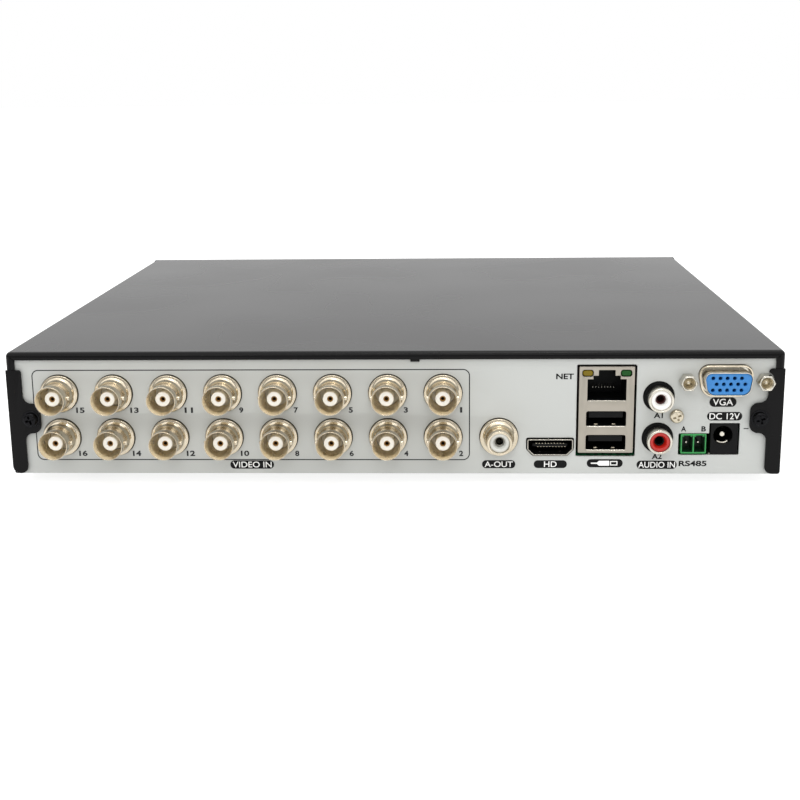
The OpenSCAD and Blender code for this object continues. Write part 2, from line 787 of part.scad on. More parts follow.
module led_windows(grow) {
    for (x = [led_yellow_x, led_green_x]) {
        translate([x[0] - grow, led_y[0] - grow]) {
            square([x[1] - x[0] + 2 * grow, led_y[1] - led_y[0] + 2 * grow]);
        }
    }
}

// Folded shield around the stack
module network_usb_shield() {
    color("#bdb5a6") rear() difference() {
        block(stack_x, stack_y, [-stack_d, 0.6]);
        block([stack_x[0] + shell_t, stack_x[1] - shell_t], [stack_y[0] + shell_t, stack_y[1] - shell_t],
              [-stack_d - cut, 0.2]);
        translate([0, 0, -cut]) linear_extrude(3) {
            stack_openings();
            led_windows(0.05);
        }
    }
}

// Moulded body with the plug cavities and the two USB tongues
module network_usb_insert() {
    play = shell_t + 0.05;
    color("#18191b") rear() {
        difference() {
            block([stack_x[0] + play, stack_x[1] - play], [stack_y[0] + play, stack_y[1] - play],
                  [-stack_d + 0.5, 0.15]);
            block(net_x, net_y, [-net_depth, cut]);
            for (i = [0, 1]) block(latch_x[i], [net_y[1] - cut, latch_y[i]], [-net_depth, cut]);
            for (row = usb_rows) block(usb_x, row, [-usb_depth, cut]);
            translate([0, 0, -4]) linear_extrude(6) led_windows(0.05);
        }
        for (row = usb_rows) {
            block([usb_x[0] + 1, usb_x[1] - 1], [row[1] - 2.4, row[1] - 0.5], [-usb_depth - 0.1, -0.6]);
        }
    }
}

module link_led(x) {
    rear() block(x, led_y, [-3.9, 0.5]);
}

module link_led_yellow() {
    color("#b9a23a") link_led(led_yellow_x);
}

module link_led_green() {
    color("#2f6b3a") link_led(led_green_x);
}

// D-shaped shell with the flange that lies behind the panel
module vga_shell() {
    color("#b9b9b5") rear() difference() {
        union() {
            translate([vga_at[0], vga_at[1], -sheet_t - 0.85]) {
                linear_extrude(0.8) round_rect(30.8, 12.5, 1.2);
            }
            translate([0, 0, -sheet_t - 0.85]) {
                linear_extrude(sheet_t + 0.85 + vga_len) d_outline(16.9, 8.3, 1.8);
            }
            translate([0, 0, -sheet_t - 0.1]) linear_extrude(sheet_t + 0.1 + vga_collar_z) difference() {
                d_outline(vga_collar[0], vga_collar[1], 2.8);
                d_outline(vga_collar[0] - 1, vga_collar[1] - 1, 2.4);
            }
        }
        translate([0, 0, -5]) linear_extrude(20) d_outline(16.1, 7.5, 1.5);
        for (s = [-1, 1]) {
            translate([vga_at[0] + s * vga_screw_pitch / 2, vga_at[1], -5]) cylinder(r = m3_bore, h = 8);
        }
    }
}

// Blue body with fifteen contact holes, and the block behind it
module vga_insert() {
    hole_pitch = 2.29;
    row_pitch = 1.98;
    color("#3f8fd6") rear() difference() {
        union() {
            translate([0, 0, -3]) linear_extrude(3 + vga_len - 0.3) d_outline(16, 7.4, 1.5);
            block([vga_at[0] - 8.5, vga_at[0] + 8.5], [25.9, 37], [-12, -sheet_t - 0.9]);
        }
        for (row = [-1, 0, 1], i = [-2:2]) {
            shift = row == 0 ? hole_pitch / 2 : 0;
            translate([vga_at[0] + i * hole_pitch + shift - 0.5, vga_at[1] + row * row_pitch, vga_len - 5]) {
                cylinder(r = 0.5, h = 6, $fn = 24);
            }
        }
    }
}

// Hexagonal jackscrews, threaded for the plug's thumb screws
module jackscrews() {
    color("#c6c4bd") for (s = [-1, 1]) rear(vga_at[0] + s * vga_screw_pitch / 2, vga_at[1]) difference() {
        union() {
            cylinder(r = jackscrew_r, h = 5, $fn = 6);
            translate([0, 0, -6]) cylinder(r = m3[0], h = 6.2);
        }
        translate([0, 0, 0.2]) cylinder(r = 1.2, h = 5.8);
    }
}

// Small board under the screen socket, joined to the main board by a ribbon
module vga_board() {
    color("#14613a") rear() block([vga_at[0] - 14, vga_at[0] + 14], [24.2, 25.8], [-26, -2]);
}

// ---- Power and control terminals ------------------------------------------------------------

// Moulded shroud with one cell and one square pin for each wire
module terminal_block() {
    mid_y = (terminal_y[0] + terminal_y[1]) / 2;
    mid_x = (terminal_x[0] + terminal_x[1]) / 2;
    wall = 0.45;
    color("#2c8f4a") rear() {
        difference() {
            union() {
                block(terminal_x, [board_top, terminal_y[1]], [-9, -sheet_t - 0.2]);
                block(terminal_x, terminal_y, [-sheet_t - 0.3, 0.4]);
            }
            for (x = [[terminal_x[0] + wall, mid_x - wall / 2], [mid_x + wall / 2, terminal_x[1] - wall]]) {
                block(x, [terminal_y[0] + wall, terminal_y[1] - wall], [-7, cut]);
            }
        }
        for (x = terminal_pins_x) block([x - 0.5, x + 0.5], [mid_y - 0.5, mid_y + 0.5], [-7.2, -0.6]);
    }
}

module dc_jack() {
    mid_x = (power_x[0] + power_x[1]) / 2;
    color("#1a1a1a") rear() {
        difference() {
            block(power_x, [board_top + 0.4, 17.2], [-14, -0.2]);
            translate([mid_x - 0.4, power_y, -11]) cylinder(r = power_hole_r, h = 12);
        }
        translate([mid_x - 0.4, power_y, -11.2]) cylinder(r = 1, h = 9.7);
        block([mid_x - 3, mid_x + 3], [board_top, board_top + 0.5], [-13, -6]);
    }
}

// ---- Storage and inner cables ---------------------------------------------------------------

module at_drive() {
    translate([drive_at[0], drive_at[1], foot_h + drive_at[2]]) children();
}

// Cast body with its lid; a pocket underneath holds the drive's own board
module hard_drive() {
    size = drive_size;
    color("#8f9499") difference() {
        at_drive() union() {
            cube([size[0], size[1], size[2] - 5]);
            translate([3, 3, size[2] - 5.1]) cube([size[0] - 6, size[1] - 6, 5.1]);
        }
        at_drive() translate([8, 12, -cut]) cube([96, 77, 2.6 + cut]);
        at_drive() translate([-cut, 18, 2]) cube([8 + cut, 56, 8]);
        drive_holes(drive_screw[0] + screw_play);
    }
}

module hard_drive_board() {
    color("#145c34") at_drive() difference() {
        translate([9, 13, 0.4]) cube([94, 75, 1.6]);
        for (x = drive_hole_x, y = [20, 80]) translate([x, y, -cut]) cylinder(r = 2, h = 5);
    }
}

module drive_screws() {
    color("#c9cacb") for (x = drive_hole_x, y = drive_hole_y) {
        translate([drive_at[0] + x, drive_at[1] + y, foot_h]) mirror([0, 0, 1]) {
            screw(drive_screw, drive_at[2] + 4.5);
        }
    }
}

// Flat cable that stands on edge and turns once in plan, from its plug in the drive to the plug
// that meets the main board's socket
module drive_cable(cable) {
    reach = cable[1];
    turn_r = cable[2];
    t = cable[3];
    h = drive_cable_h;
    start_y = drive_at[1] + cable[0];
    length = panel_y + board_z[0] - 0.05 - drive_plug[2] + 1 - start_y - turn_r;
    translate([drive_plug_x, start_y, foot_h + drive_at[2] + 2.6]) {
        linear_extrude(h) {
            translate([-reach, -t / 2]) square([reach, t]);
            translate([-reach - turn_r - t / 2, turn_r]) square([t, length]);
            translate([-reach, turn_r]) intersection() {
                difference() {
                    circle(turn_r + t / 2);
                    circle(turn_r - t / 2);
                }
                translate([-2 * turn_r, -2 * turn_r]) square(2 * turn_r);
            }
        }
        translate([-2, -drive_plug[0] / 2, (h - drive_plug[1]) / 2]) cube([9, drive_plug[0], drive_plug[1]]);
        translate([-reach - turn_r - drive_plug[0] / 2, turn_r + length - 1, (h - drive_plug[1]) / 2]) {
            cube([drive_plug[0], drive_plug[2], drive_plug[1]]);
        }
    }
}

module drive_cables() {
    color("#8e1f1f") {
        drive_cable(data_cable);
        drive_cable(power_cable);
    }
}

// Ribbon from the front's board to the main board, and the short one under the screen socket
module ribbon_cables() {
    start = front_y - front_board_z + front_board_t;
    reach = panel_y - 80.5 - start - 6;
    color("#c9c6c0") {
        front(ribbon_at[0], ribbon_at[1]) {
            block([-7, 7], [-0.4, 0.4],
                  [front_board_z - front_board_t - reach, front_board_z - front_board_t]);
        }
        translate([ribbon_at[0] - 7, start + reach, foot_h + ribbon_at[1] - 6]) rotate([90, 0, 90]) {
            linear_extrude(14) intersection() {
                difference() {
                    circle(6.4);
                    circle(5.6);
                }
                square(7);
            }
        }
        rear(case_w / 2 - ribbon_at[0]) {
            block([-7, 7], [board_top + 7.05, ribbon_at[1] - 5.9], [-80.9, -80.1]);
        }
        rear(vga_at[0], 0, vga_ribbon_z) {
            block([-5, 5], [board_top + 5.05, 24.1], [-0.4, 0.4]);
            block([-5, 5], [22.6, 24.15], [-0.4, 9]);
        }
    }
}

base_tray();
rear_panel();
top_cover();
cover_screws();
rubber_feet();
front_bezel();
front_window();
front_board();
key_switches();
indicator_leds();
ir_receiver();
key_cap(power_key_at, "#9c2026");  // power_key
key_cap(menu_key_at, "#4a4c50");  // menu_key
key_cap(up_key_at, "#4a4c50");  // up_key
key_cap(down_key_at, "#4a4c50");  // down_key
key_cap(left_key_at, "#4a4c50");  // left_key
key_cap(right_key_at, "#4a4c50");  // right_key
key_cap(ok_key_at, "#4a4c50");  // ok_key
main_board();
standoffs();
inner_screws();
heatsink();
board_parts();
capacitors();
clock_battery();
jack_housings();
for (i = [0:bnc_count - 1]) bnc_pair(i);
bnc_insulators();
bnc_contacts();
audio_out_shell();
audio_out_insulator();
audio_in_housing();
audio_in_barrels();
audio_in_white_ring();
audio_in_red_ring();
hdmi_shell();
hdmi_tongue();
network_usb_shield();
network_usb_insert();
link_led_yellow();
link_led_green();
vga_shell();
vga_insert();
jackscrews();
vga_board();
terminal_block();
dc_jack();
panel_screw();
hard_drive();
hard_drive_board();
drive_screws();
drive_cables();
ribbon_cables();
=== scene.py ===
import json
import math

import bmesh
import bpy
from mathutils import Matrix, Vector


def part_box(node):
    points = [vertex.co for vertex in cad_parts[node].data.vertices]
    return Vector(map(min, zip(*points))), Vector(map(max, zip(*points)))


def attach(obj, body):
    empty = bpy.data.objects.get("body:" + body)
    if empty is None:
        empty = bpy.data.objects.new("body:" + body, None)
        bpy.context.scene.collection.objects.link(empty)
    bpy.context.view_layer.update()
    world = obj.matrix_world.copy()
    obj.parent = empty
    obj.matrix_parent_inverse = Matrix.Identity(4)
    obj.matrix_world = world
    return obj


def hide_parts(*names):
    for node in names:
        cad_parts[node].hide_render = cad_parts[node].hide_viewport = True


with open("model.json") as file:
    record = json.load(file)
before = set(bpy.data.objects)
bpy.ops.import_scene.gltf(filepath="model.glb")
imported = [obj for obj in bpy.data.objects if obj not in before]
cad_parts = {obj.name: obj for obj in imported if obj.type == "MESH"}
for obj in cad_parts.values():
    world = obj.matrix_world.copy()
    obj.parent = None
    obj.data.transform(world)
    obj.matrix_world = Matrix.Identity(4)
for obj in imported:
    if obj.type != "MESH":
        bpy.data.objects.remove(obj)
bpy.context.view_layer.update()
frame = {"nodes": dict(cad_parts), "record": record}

# Lengths are in millimetres until a piece is placed; lights and floor are in metres. Four plans are used:
# REAR: x right from the case's side seen from behind, y up from its bottom, z out of the rear panel
# FRONT: x right from the middle seen from the front, y up from the case's bottom, z out of the front
# LEFT and RIGHT: y up, z out of the cover's side, for the sides at low x and at high x
# TABLE is the frame's own plan, for the feet.

MM = 0.001


def box_mm(node):
    """Lowest and highest corner of a CAD node."""
    low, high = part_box(node)
    return low / MM, high / MM


cover_low, cover_high = box_mm("top_cover")
panel_high = box_mm("rear_panel")[1]
bezel_low = box_mm("front_bezel")[0]
foot_h = box_mm("rubber_feet")[1].z
case_w = cover_high.x - cover_low.x
case_h = cover_high.z - foot_h
case_d = panel_high.y - cover_low.y
bezel_d = cover_low.y - bezel_low.y
cover_rear = cover_high.y - panel_high.y      # the ears' outer face, out of the panel

REAR = Matrix(((-1, 0, 0, cover_high.x), (0, 0, 1, panel_high.y), (0, 1, 0, foot_h), (0, 0, 0, 1)))
FRONT = Matrix(((1, 0, 0, 0), (0, 0, -1, bezel_low.y), (0, 1, 0, foot_h), (0, 0, 0, 1)))
RIGHT = Matrix(((0, 0, 1, cover_high.x), (1, 0, 0, 0), (0, 1, 0, foot_h), (0, 0, 0, 1)))
LEFT = Matrix(((0, 0, -1, cover_low.x), (-1, 0, 0, 0), (0, 1, 0, foot_h), (0, 0, 0, 1)))
TABLE = Matrix.Identity(4)
SIDES = (("high_x", RIGHT, 1), ("low_x", LEFT, -1))    # name, plan and sign of the cover's sides


# ---- Camera, light and floor ---------------------------------------------------------------

def make_camera():
    """Camera behind the recorder and a little above it, at the distance of a product shot."""
    place = Vector((-21.4, 538.9, 133.15)) * MM
    target = Vector((-2.92, 112.75, 28.9)) * MM
    roll = math.radians(-0.667)
    camera = bpy.data.objects.new("camera", bpy.data.cameras.new("camera"))
    camera.data.sensor_width = 36
    camera.data.lens = 59.6
    camera.data.clip_start = 0.01
    camera.data.clip_end = 50
    camera.location = place
    camera.rotation_mode = "QUATERNION"
    turn = (target - place).to_track_quat("-Z", "Y")
    camera.rotation_quaternion = turn @ Matrix.Rotation(roll, 3, "Z").to_quaternion()
    bpy.context.scene.collection.objects.link(camera)
    bpy.context.scene.camera = camera


def area_light(name, place, target, size, power):
    """Rectangular soft box that faces its target."""
    light = bpy.data.lights.new(name, "AREA")
    light.shape = "RECTANGLE"
    light.size, light.size_y = size
    light.energy = power
    lamp = bpy.data.objects.new(name, light)
    lamp.location = place
    lamp.rotation_mode = "QUATERNION"
    lamp.rotation_quaternion = (Vector(target) - Vector(place)).to_track_quat("-Z", "Y")
    bpy.context.scene.collection.objects.link(lamp)


def spread(tree, share, low, high, start=0.3, end=0.7, curve="LINEAR"):
    """Number that goes from low to high as the share goes from start to end."""
    node = tree.nodes.new("ShaderNodeMapRange")
    node.interpolation_type = curve
    for name, value in zip(("From Min", "From Max", "To Min", "To Max"), (start, end, low, high)):
        node.inputs[name].default_value = value
    tree.links.new(share, node.inputs["Value"])
    return node.outputs["Result"]


def make_sky():
    """White room, brighter overhead and beyond the recorder's front. The camera sees it plain white."""
    world = bpy.data.worlds.new("studio")
    world.use_nodes = True
    bpy.context.scene.world = world
    tree = world.node_tree
    tree.nodes.clear()
    place, split, total, lit, plain, path, mix, end = (tree.nodes.new("ShaderNode" + kind) for kind in (
        "TexCoord", "SeparateXYZ", "Math", "Background", "Background", "LightPath", "MixShader",
        "OutputWorld"))
    for node in (lit, plain):
        node.inputs["Color"].default_value = (1, 1, 1, 1)
    plain.inputs["Strength"].default_value = 1.0
    for output, socket in (
            (place.outputs["Generated"], split.inputs[0]),
            (spread(tree, split.outputs["Y"], 0.42, 1.1, 0.25, -0.5, "SMOOTHSTEP"), total.inputs[0]),
            (spread(tree, split.outputs["Z"], 0.0, 1.2, 0.16, 0.6, "SMOOTHSTEP"), total.inputs[1]),
            (total.outputs[0], lit.inputs["Strength"]), (path.outputs["Is Camera Ray"], mix.inputs[0]),
            (lit.outputs[0], mix.inputs[1]), (plain.outputs[0], mix.inputs[2]),
            (mix.outputs[0], end.inputs[0])):
        tree.links.new(output, socket)


make_camera()
make_sky()
middle = (0, 0.0, 0.02)
sockets = (0, 0.1, 0.02)
area_light("key_light", (0.35, 1.1, 1.15), sockets, (0.5, 0.25), 0.5)
area_light("top_light", (-0.2, 0.25, 1.3), middle, (0.9, 0.7), 2.2)
area_light("strip_light", (-0.1, 0.5, 1.1), sockets, (0.35, 0.08), 1.6)
area_light("fill_light", (0.05, 1.15, 0.6), sockets, (1.05, 0.08), 1.3)
area_light("side_light", (-1.2, 0.9, 0.5), sockets, (0.25, 0.9), 0.5)
bpy.context.scene.view_settings.view_transform = "Standard"


# ---- Materials -----------------------------------------------------------------------------

M = {}    # materials by name


def new_material(name):
    """Node tree of a new material, its shader and a coordinate that is fixed to the object."""
    M[name] = bpy.data.materials.new(name)
    M[name].use_nodes = True
    tree = M[name].node_tree
    return tree, tree.nodes["Principled BSDF"], tree.nodes.new("ShaderNodeTexCoord").outputs["Object"]


def noise(tree, place, grain, detail=3.0):
    """Noise whose patches are about `grain` millimetres wide."""
    node = tree.nodes.new("ShaderNodeTexNoise")
    node.inputs["Scale"].default_value = 1 / (grain * MM)
    node.inputs["Detail"].default_value = detail
    tree.links.new(place, node.inputs["Vector"])
    return node.outputs["Fac"]


def blend_of(tree, share, first, second, start=0.3, end=0.7):
    """Colour that goes from the first to the second as the share rises."""
    ramp = tree.nodes.new("ShaderNodeValToRGB")
    ramp.color_ramp.elements[0].position = start
    ramp.color_ramp.elements[1].position = end
    ramp.color_ramp.elements[0].color = (*first, 1)
    ramp.color_ramp.elements[1].color = (*second, 1)
    tree.links.new(share, ramp.inputs[0])
    return ramp.outputs["Color"]


def relief(tree, shader, height, depth):
    """Bump at half strength, of the given depth in millimetres."""
    bump = tree.nodes.new("ShaderNodeBump")
    bump.inputs["Strength"].default_value = 0.5
    bump.inputs["Distance"].default_value = depth * MM
    tree.links.new(height, bump.inputs["Height"])
    tree.links.new(bump.outputs["Normal"], shader.inputs["Normal"])


def shades(colour, vary):
    """A darker and a lighter form of a colour."""
    return [c * (1 - vary) for c in colour], [min(1, c * (1 + vary)) for c in colour]


def moulded(name, colour, rough=0.45, grain=0.35, depth=0.006, vary=0.05, **sockets):
    """Moulded plastic, rubber or enamel: fine spark-eroded grain and faint unevenness in colour."""
    tree, shader, place = new_material(name)
    low, high = shades(colour, vary)
    tree.links.new(blend_of(tree, noise(tree, place, 6), low, high), shader.inputs["Base Color"])
    tree.links.new(spread(tree, noise(tree, place, 2.5), rough - 0.06, rough + 0.06),
                   shader.inputs["Roughness"])
    relief(tree, shader, noise(tree, place, grain, 2), depth)
    for socket, value in sockets.items():
        shader.inputs[socket.replace("_", " ")].default_value = value


def plated(name, colour, rough=0.2, grain=1.2, depth=0.002, vary=0.04, tarnish=None):
    """Plated or turned metal: small differences in tint and polish, with faint handling marks."""
    tree, shader, place = new_material(name)
    low, high = shades(colour, vary)
    tree.links.new(blend_of(tree, noise(tree, place, 4, 2), tarnish or low, high, 0.2, 0.8),
                   shader.inputs["Base Color"])
    tree.links.new(spread(tree, noise(tree, place, 2, 3), rough * 0.85, rough * 1.2),
                   shader.inputs["Roughness"])
    relief(tree, shader, noise(tree, place, grain), depth)
    shader.inputs["Metallic"].default_value = 1.0


def coated_sheet(name, colour, rough, speck, depth, gloss):
    """Powder-coated sheet: fine specks in a smooth coat and slightly uneven polish."""
    tree, shader, place = new_material(name)
    low, high = shades(colour, 0.03)
    tree.links.new(blend_of(tree, noise(tree, place, 40, 1), low, high), shader.inputs["Base Color"])
    tree.links.new(spread(tree, noise(tree, place, 55, 1), rough - 0.015, rough + 0.015),
                   shader.inputs["Roughness"])
    relief(tree, shader, noise(tree, place, speck, 1), depth)
    shader.inputs["Specular IOR Level"].default_value = gloss


def circuit_board(name):
    """Green solder mask with lighter tracks and small tinned pads."""
    pad_pitch, pad_share, tracks_per_mm = 3.2, 0.16, 0.12
    mask, track, tin = (0.006, 0.075, 0.028), (0.014, 0.14, 0.05), (0.6, 0.58, 0.52, 1)
    tree, shader, place = new_material(name)
    cells, pads, bands, mix = (tree.nodes.new("ShaderNode" + kind) for kind in
                               ("TexVoronoi", "Math", "TexWave", "Mix"))
    cells.distance = "MANHATTAN"
    cells.feature = "F1"
    cells.inputs["Scale"].default_value = 1 / (pad_pitch * MM)
    pads.operation = "LESS_THAN"
    pads.inputs[1].default_value = pad_share
    bands.inputs["Scale"].default_value = tracks_per_mm / MM
    bands.inputs["Distortion"].default_value = 3.0
    mix.data_type = "RGBA"
    mix.inputs["B"].default_value = tin
    shader.inputs["Roughness"].default_value = 0.32
    for output, socket in (
            (place, cells.inputs["Vector"]), (place, bands.inputs["Vector"]),
            (cells.outputs["Distance"], pads.inputs[0]), (pads.outputs[0], mix.inputs["Factor"]),
            (blend_of(tree, bands.outputs["Fac"], mask, track, 0.45, 0.55), mix.inputs["A"]),
            (mix.outputs["Result"], shader.inputs["Base Color"]),
            (pads.outputs[0], shader.inputs["Metallic"])):
        tree.links.new(output, socket)
    relief(tree, shader, bands.outputs["Fac"], 0.02)


def ribbon(name, colour, dark):
    """Flat cable of many cores side by side."""
    cores_per_mm = 0.25
    tree, shader, place = new_material(name)
    bands = tree.nodes.new("ShaderNodeTexWave")
    bands.bands_direction = "X"
    bands.inputs["Scale"].default_value = cores_per_mm / MM
    tree.links.new(place, bands.inputs["Vector"])
    tree.links.new(blend_of(tree, bands.outputs["Fac"], dark, colour, 0.1, 0.5),
                   shader.inputs["Base Color"])
    relief(tree, shader, bands.outputs["Fac"], 0.15)
    shader.inputs["Roughness"].default_value = 0.5


def smoked_glass(name):
    """Dark red acrylic with a polished face and a little dust."""
    tree, shader, place = new_material(name)
    tree.links.new(blend_of(tree, noise(tree, place, 12), (0.012, 0.004, 0.006), (0.02, 0.006, 0.008)),
                   shader.inputs["Base Color"])
    tree.links.new(spread(tree, noise(tree, place, 4, 6), 0.06, 0.14), shader.inputs["Roughness"])
    shader.inputs["Coat Weight"].default_value = 0.6


coated_sheet("cover_black", (0.003, 0.0028, 0.003), 0.27, 0.3, 0.0012, 0.12)
coated_sheet("panel_grey", (0.46, 0.471, 0.453), 0.45, 0.3, 0.001, 0.4)
plated("tray_steel", (0.62, 0.63, 0.61), 0.34, 3.0, 0.02)
plated("screw_black", (0.012, 0.012, 0.013), 0.25)
moulded("rubber_black", (0.018, 0.018, 0.019), 0.75, 0.6, 0.05)
moulded("bezel_plastic", (0.014, 0.014, 0.016), 0.3, 0.25, 0.01, Coat_Weight=0.15)
smoked_glass("window_smoked")
circuit_board("board_green")
moulded("switch_black", (0.04, 0.04, 0.045), 0.4)
moulded("led_clear", (0.7, 0.85, 0.68), 0.12, Transmission_Weight=0.5)
moulded("ir_dark", (0.02, 0.015, 0.035), 0.15)
moulded("key_red", (0.35, 0.012, 0.018), 0.32, 0.2, 0.008)
moulded("key_grey", (0.07, 0.073, 0.08), 0.38, 0.2, 0.008)
plated("standoff_brass", (0.75, 0.58, 0.28), 0.25)
plated("screw_steel", (0.60, 0.55, 0.44), 0.22, tarnish=(0.42, 0.37, 0.28))
plated("heatsink_grey", (0.55, 0.57, 0.6), 0.4, 1.2, 0.02)
moulded("chip_black", (0.02, 0.02, 0.022), 0.5, 0.3, 0.02)
moulded("capacitor_blue", (0.015, 0.03, 0.11), 0.25, vary=0.15)
plated("battery_steel", (0.7, 0.71, 0.72), 0.18)
moulded("housing_black", (0.003, 0.003, 0.0032), 0.42, 0.3, 0.006, Specular_IOR_Level=0.13)
plated("nickel_warm", (0.62, 0.55, 0.43), 0.16, tarnish=(0.52, 0.455, 0.345))
# lighter copy of the shells' nickel for the inside of the bores: painted light where the bore lies in shade
plated("nickel_bore_painted_light", (0.98, 0.86, 0.66), 0.3, tarnish=(0.92, 0.79, 0.57))
moulded("insulator_white", (0.80, 0.79, 0.75), 0.35, 0.4, 0.01, 0.03)
plated("contact_gold", (0.34, 0.20, 0.075), 0.35, tarnish=(0.2, 0.11, 0.04))
moulded("insulator_grey", (0.62, 0.62, 0.58), 0.35, 0.4, 0.01, 0.04)
moulded("ring_white", (0.84, 0.82, 0.79), 0.3, 0.4, 0.01, 0.03)
moulded("ring_red", (0.42, 0.012, 0.007), 0.3, 0.4, 0.01, 0.08)
plated("shield_nickel", (0.36, 0.332, 0.285), 0.36, tarnish=(0.33, 0.305, 0.26))
moulded("led_yellow", (0.15, 0.105, 0.004), 0.25, 0.5, 0.004, 0.05, Specular_IOR_Level=0.2)
moulded("led_green", (0.004, 0.06, 0.006), 0.25, 0.5, 0.004, 0.05, Specular_IOR_Level=0.2)
plated("nickel_bright", (0.62, 0.59, 0.52), 0.2, tarnish=(0.50, 0.475, 0.41))
# dark metal for the output socket's spring and hole bottom: painted shade down the hole
plated("painted_hole_shade_metal", (0.22, 0.21, 0.18), 0.3)
moulded("vga_blue", (0.02, 0.17, 0.45), 0.4, 0.3, 0.004, 0.04)
# darker copy of the terminal's green for the insides of its cells: painted shade
moulded("terminal_green_painted_shade", (0.0025, 0.03, 0.009), 0.4, 0.3, 0.004, 0.02)
moulded("terminal_green", (0.02, 0.26, 0.055), 0.3, 0.3, 0.004, 0.06)
plated("drive_aluminium", (0.5, 0.51, 0.53), 0.38, 1.5, 0.03)
ribbon("cable_red", (0.35, 0.02, 0.02), (0.15, 0.008, 0.01))
ribbon("ribbon_grey", (0.55, 0.53, 0.5), (0.3, 0.29, 0.27))
moulded("print_black", (0.004, 0.004, 0.0042), 0.4, 0.2, 0.003, Specular_IOR_Level=0.12)
moulded("print_grey", (0.022, 0.022, 0.024), 0.45, 0.2, 0.003, Specular_IOR_Level=0.2)
moulded("print_white", (0.82, 0.82, 0.80), 0.4, 0.2, 0.003, 0.02)
moulded("deep_red", (0.055, 0.003, 0.003), 0.5)
moulded("floor_white", (0.4, 0.4, 0.4), 0.6, 8, 0.02, 0.01, Emission_Strength=0.72,
          Emission_Color=(1, 1, 1, 1), Specular_IOR_Level=0.1)


# ---- Shapes --------------------------------------------------------------------------------

def rounded(points, steps=5):
    """Outline with rounded corners: a corner is (x, y), or (x, y, radius)."""
    made = []
    for i, point in enumerate(points):
        here = Vector(point[:2])
        if len(point) == 2 or point[2] == 0:
            made.append(tuple(here))
            continue
        back = Vector(points[i - 1][:2]) - here
        on = Vector(points[(i + 1) % len(points)][:2]) - here
        half = back.angle(on) / 2
        cut = min(point[2] / math.tan(half), 0.495 * back.length, 0.495 * on.length)
        middle = here + (back.normalized() + on.normalized()).normalized() * cut / math.cos(half)
        first, last = here + back.normalized() * cut - middle, here + on.normalized() * cut - middle
        sweep = math.atan2(first.x * last.y - first.y * last.x, first.dot(last))
        for k in range(steps + 1):
            c, s = math.cos(sweep * k / steps), math.sin(sweep * k / steps)
            made.append((middle.x + first.x * c - first.y * s, middle.y + first.x * s + first.y * c))
    return made


def rect(x, y, r=0.0, steps=5):
    """Rectangle from its sides, with its corners rounded by r."""
    return rounded([(x[0], y[0], r), (x[1], y[0], r), (x[1], y[1], r), (x[0], y[1], r)], steps)


def circle(x, y, r, steps=48):
    """Outline of a circle about x, y."""
    turns = [2 * math.pi * k / steps for k in range(steps)]
    return [(x + r * math.cos(a), y + r * math.sin(a)) for a in turns]


def cove(start, end, steps=8):
    """Hollow curve of a turned profile: it leaves its start sideways and reaches its end along z."""
    turns = [math.pi / 2 * k / steps for k in range(steps + 1)]
    return [(start[0] + (end[0] - start[0]) * math.sin(a), start[1] + (end[1] - start[1]) * (1 - math.cos(a)))
            for a in turns]


weld = 0.0005    # points nearer to each other than this become one; in a plate, three times this


def mesh_of(work, flat=False):
    """Mesh of a bmesh, with its normals outwards; flat leaves the faces along an axis unsmoothed."""
    bmesh.ops.recalc_face_normals(work, faces=work.faces)
    for face in work.faces:
        face.smooth = not (flat and max(abs(n) for n in face.normal) > 0.9999)
    mesh = bpy.data.meshes.new("part")
    work.to_mesh(mesh)
    work.free()
    return mesh


def lathe(profile, x=0.0, y=0.0, steps=64):
    """Solid turned about z from a profile of (radius, z), closed at the axis or on itself."""
    work = bmesh.new()
    rings = []
    for r, z in profile:
        if r < 1e-6:
            rings.append([work.verts.new((x, y, z))] * steps)
        else:
            rings.append([work.verts.new((px, py, z)) for px, py in circle(x, y, r, steps)])
    closed = profile[0][0] > 1e-6
    for i in range(len(rings) if closed else len(rings) - 1):
        a, b = rings[i], rings[(i + 1) % len(rings)]
        for k in range(steps):
            n = (k + 1) % steps
            corners = list(dict.fromkeys((a[k], a[n], b[n], b[k])))
            if len(corners) > 2:
                work.faces.new(corners)
    return mesh_of(work)


def work_of(curve):
    """Editable mesh of a curve, which is then removed."""
    holder = bpy.data.objects.new("curve", curve)
    mesh = bpy.data.meshes.new_from_object(holder)
    bpy.data.objects.remove(holder)
    bpy.data.curves.remove(curve)
    work = bmesh.new()
    work.from_mesh(mesh)
    bpy.data.meshes.remove(mesh)
    return work


def trace(curve, points, closed=False):
    """Straight-sided line through (x, y, z) points, added to a curve."""
    spline = curve.splines.new("POLY")
    spline.points.add(len(points) - 1)
    for point, co in zip(spline.points, points):
        point.co = (*co, 1)
    spline.use_cyclic_u = closed


def plate(outlines, low, high, bevel=0.0, steps=2):
    """Flat sheet from z low to high: an outline and its holes, with rounded edges."""
    curve = bpy.data.curves.new("plate", "CURVE")
    curve.dimensions = "2D"
    curve.fill_mode = "BOTH"
    curve.extrude = (high - low) / 2 - bevel
    curve.bevel_depth = bevel
    curve.bevel_resolution = steps
    curve.offset = -bevel
    for outline in outlines:
        trace(curve, [(x, y, 0) for x, y in outline], True)
    work = work_of(curve)
    bmesh.ops.translate(work, verts=work.verts, vec=(0, 0, (low + high) / 2))
    bmesh.ops.remove_doubles(work, verts=work.verts, dist=3 * weld)
    bmesh.ops.dissolve_degenerate(work, edges=work.edges, dist=weld)
    return mesh_of(work, True)


def brick(x, y, z, bevel=0.12, steps=2):
    """Box from its sides, with rounded edges."""
    work = bmesh.new()
    bmesh.ops.create_cube(work, size=1)
    for v in work.verts:
        v.co = [side[0] + (side[1] - side[0]) * (c + 0.5) for side, c in zip((x, y, z), v.co)]
    if bevel:
        bmesh.ops.bevel(work, geom=work.edges[:], offset=bevel, segments=steps, profile=0.5, affect="EDGES")
    return mesh_of(work, True)


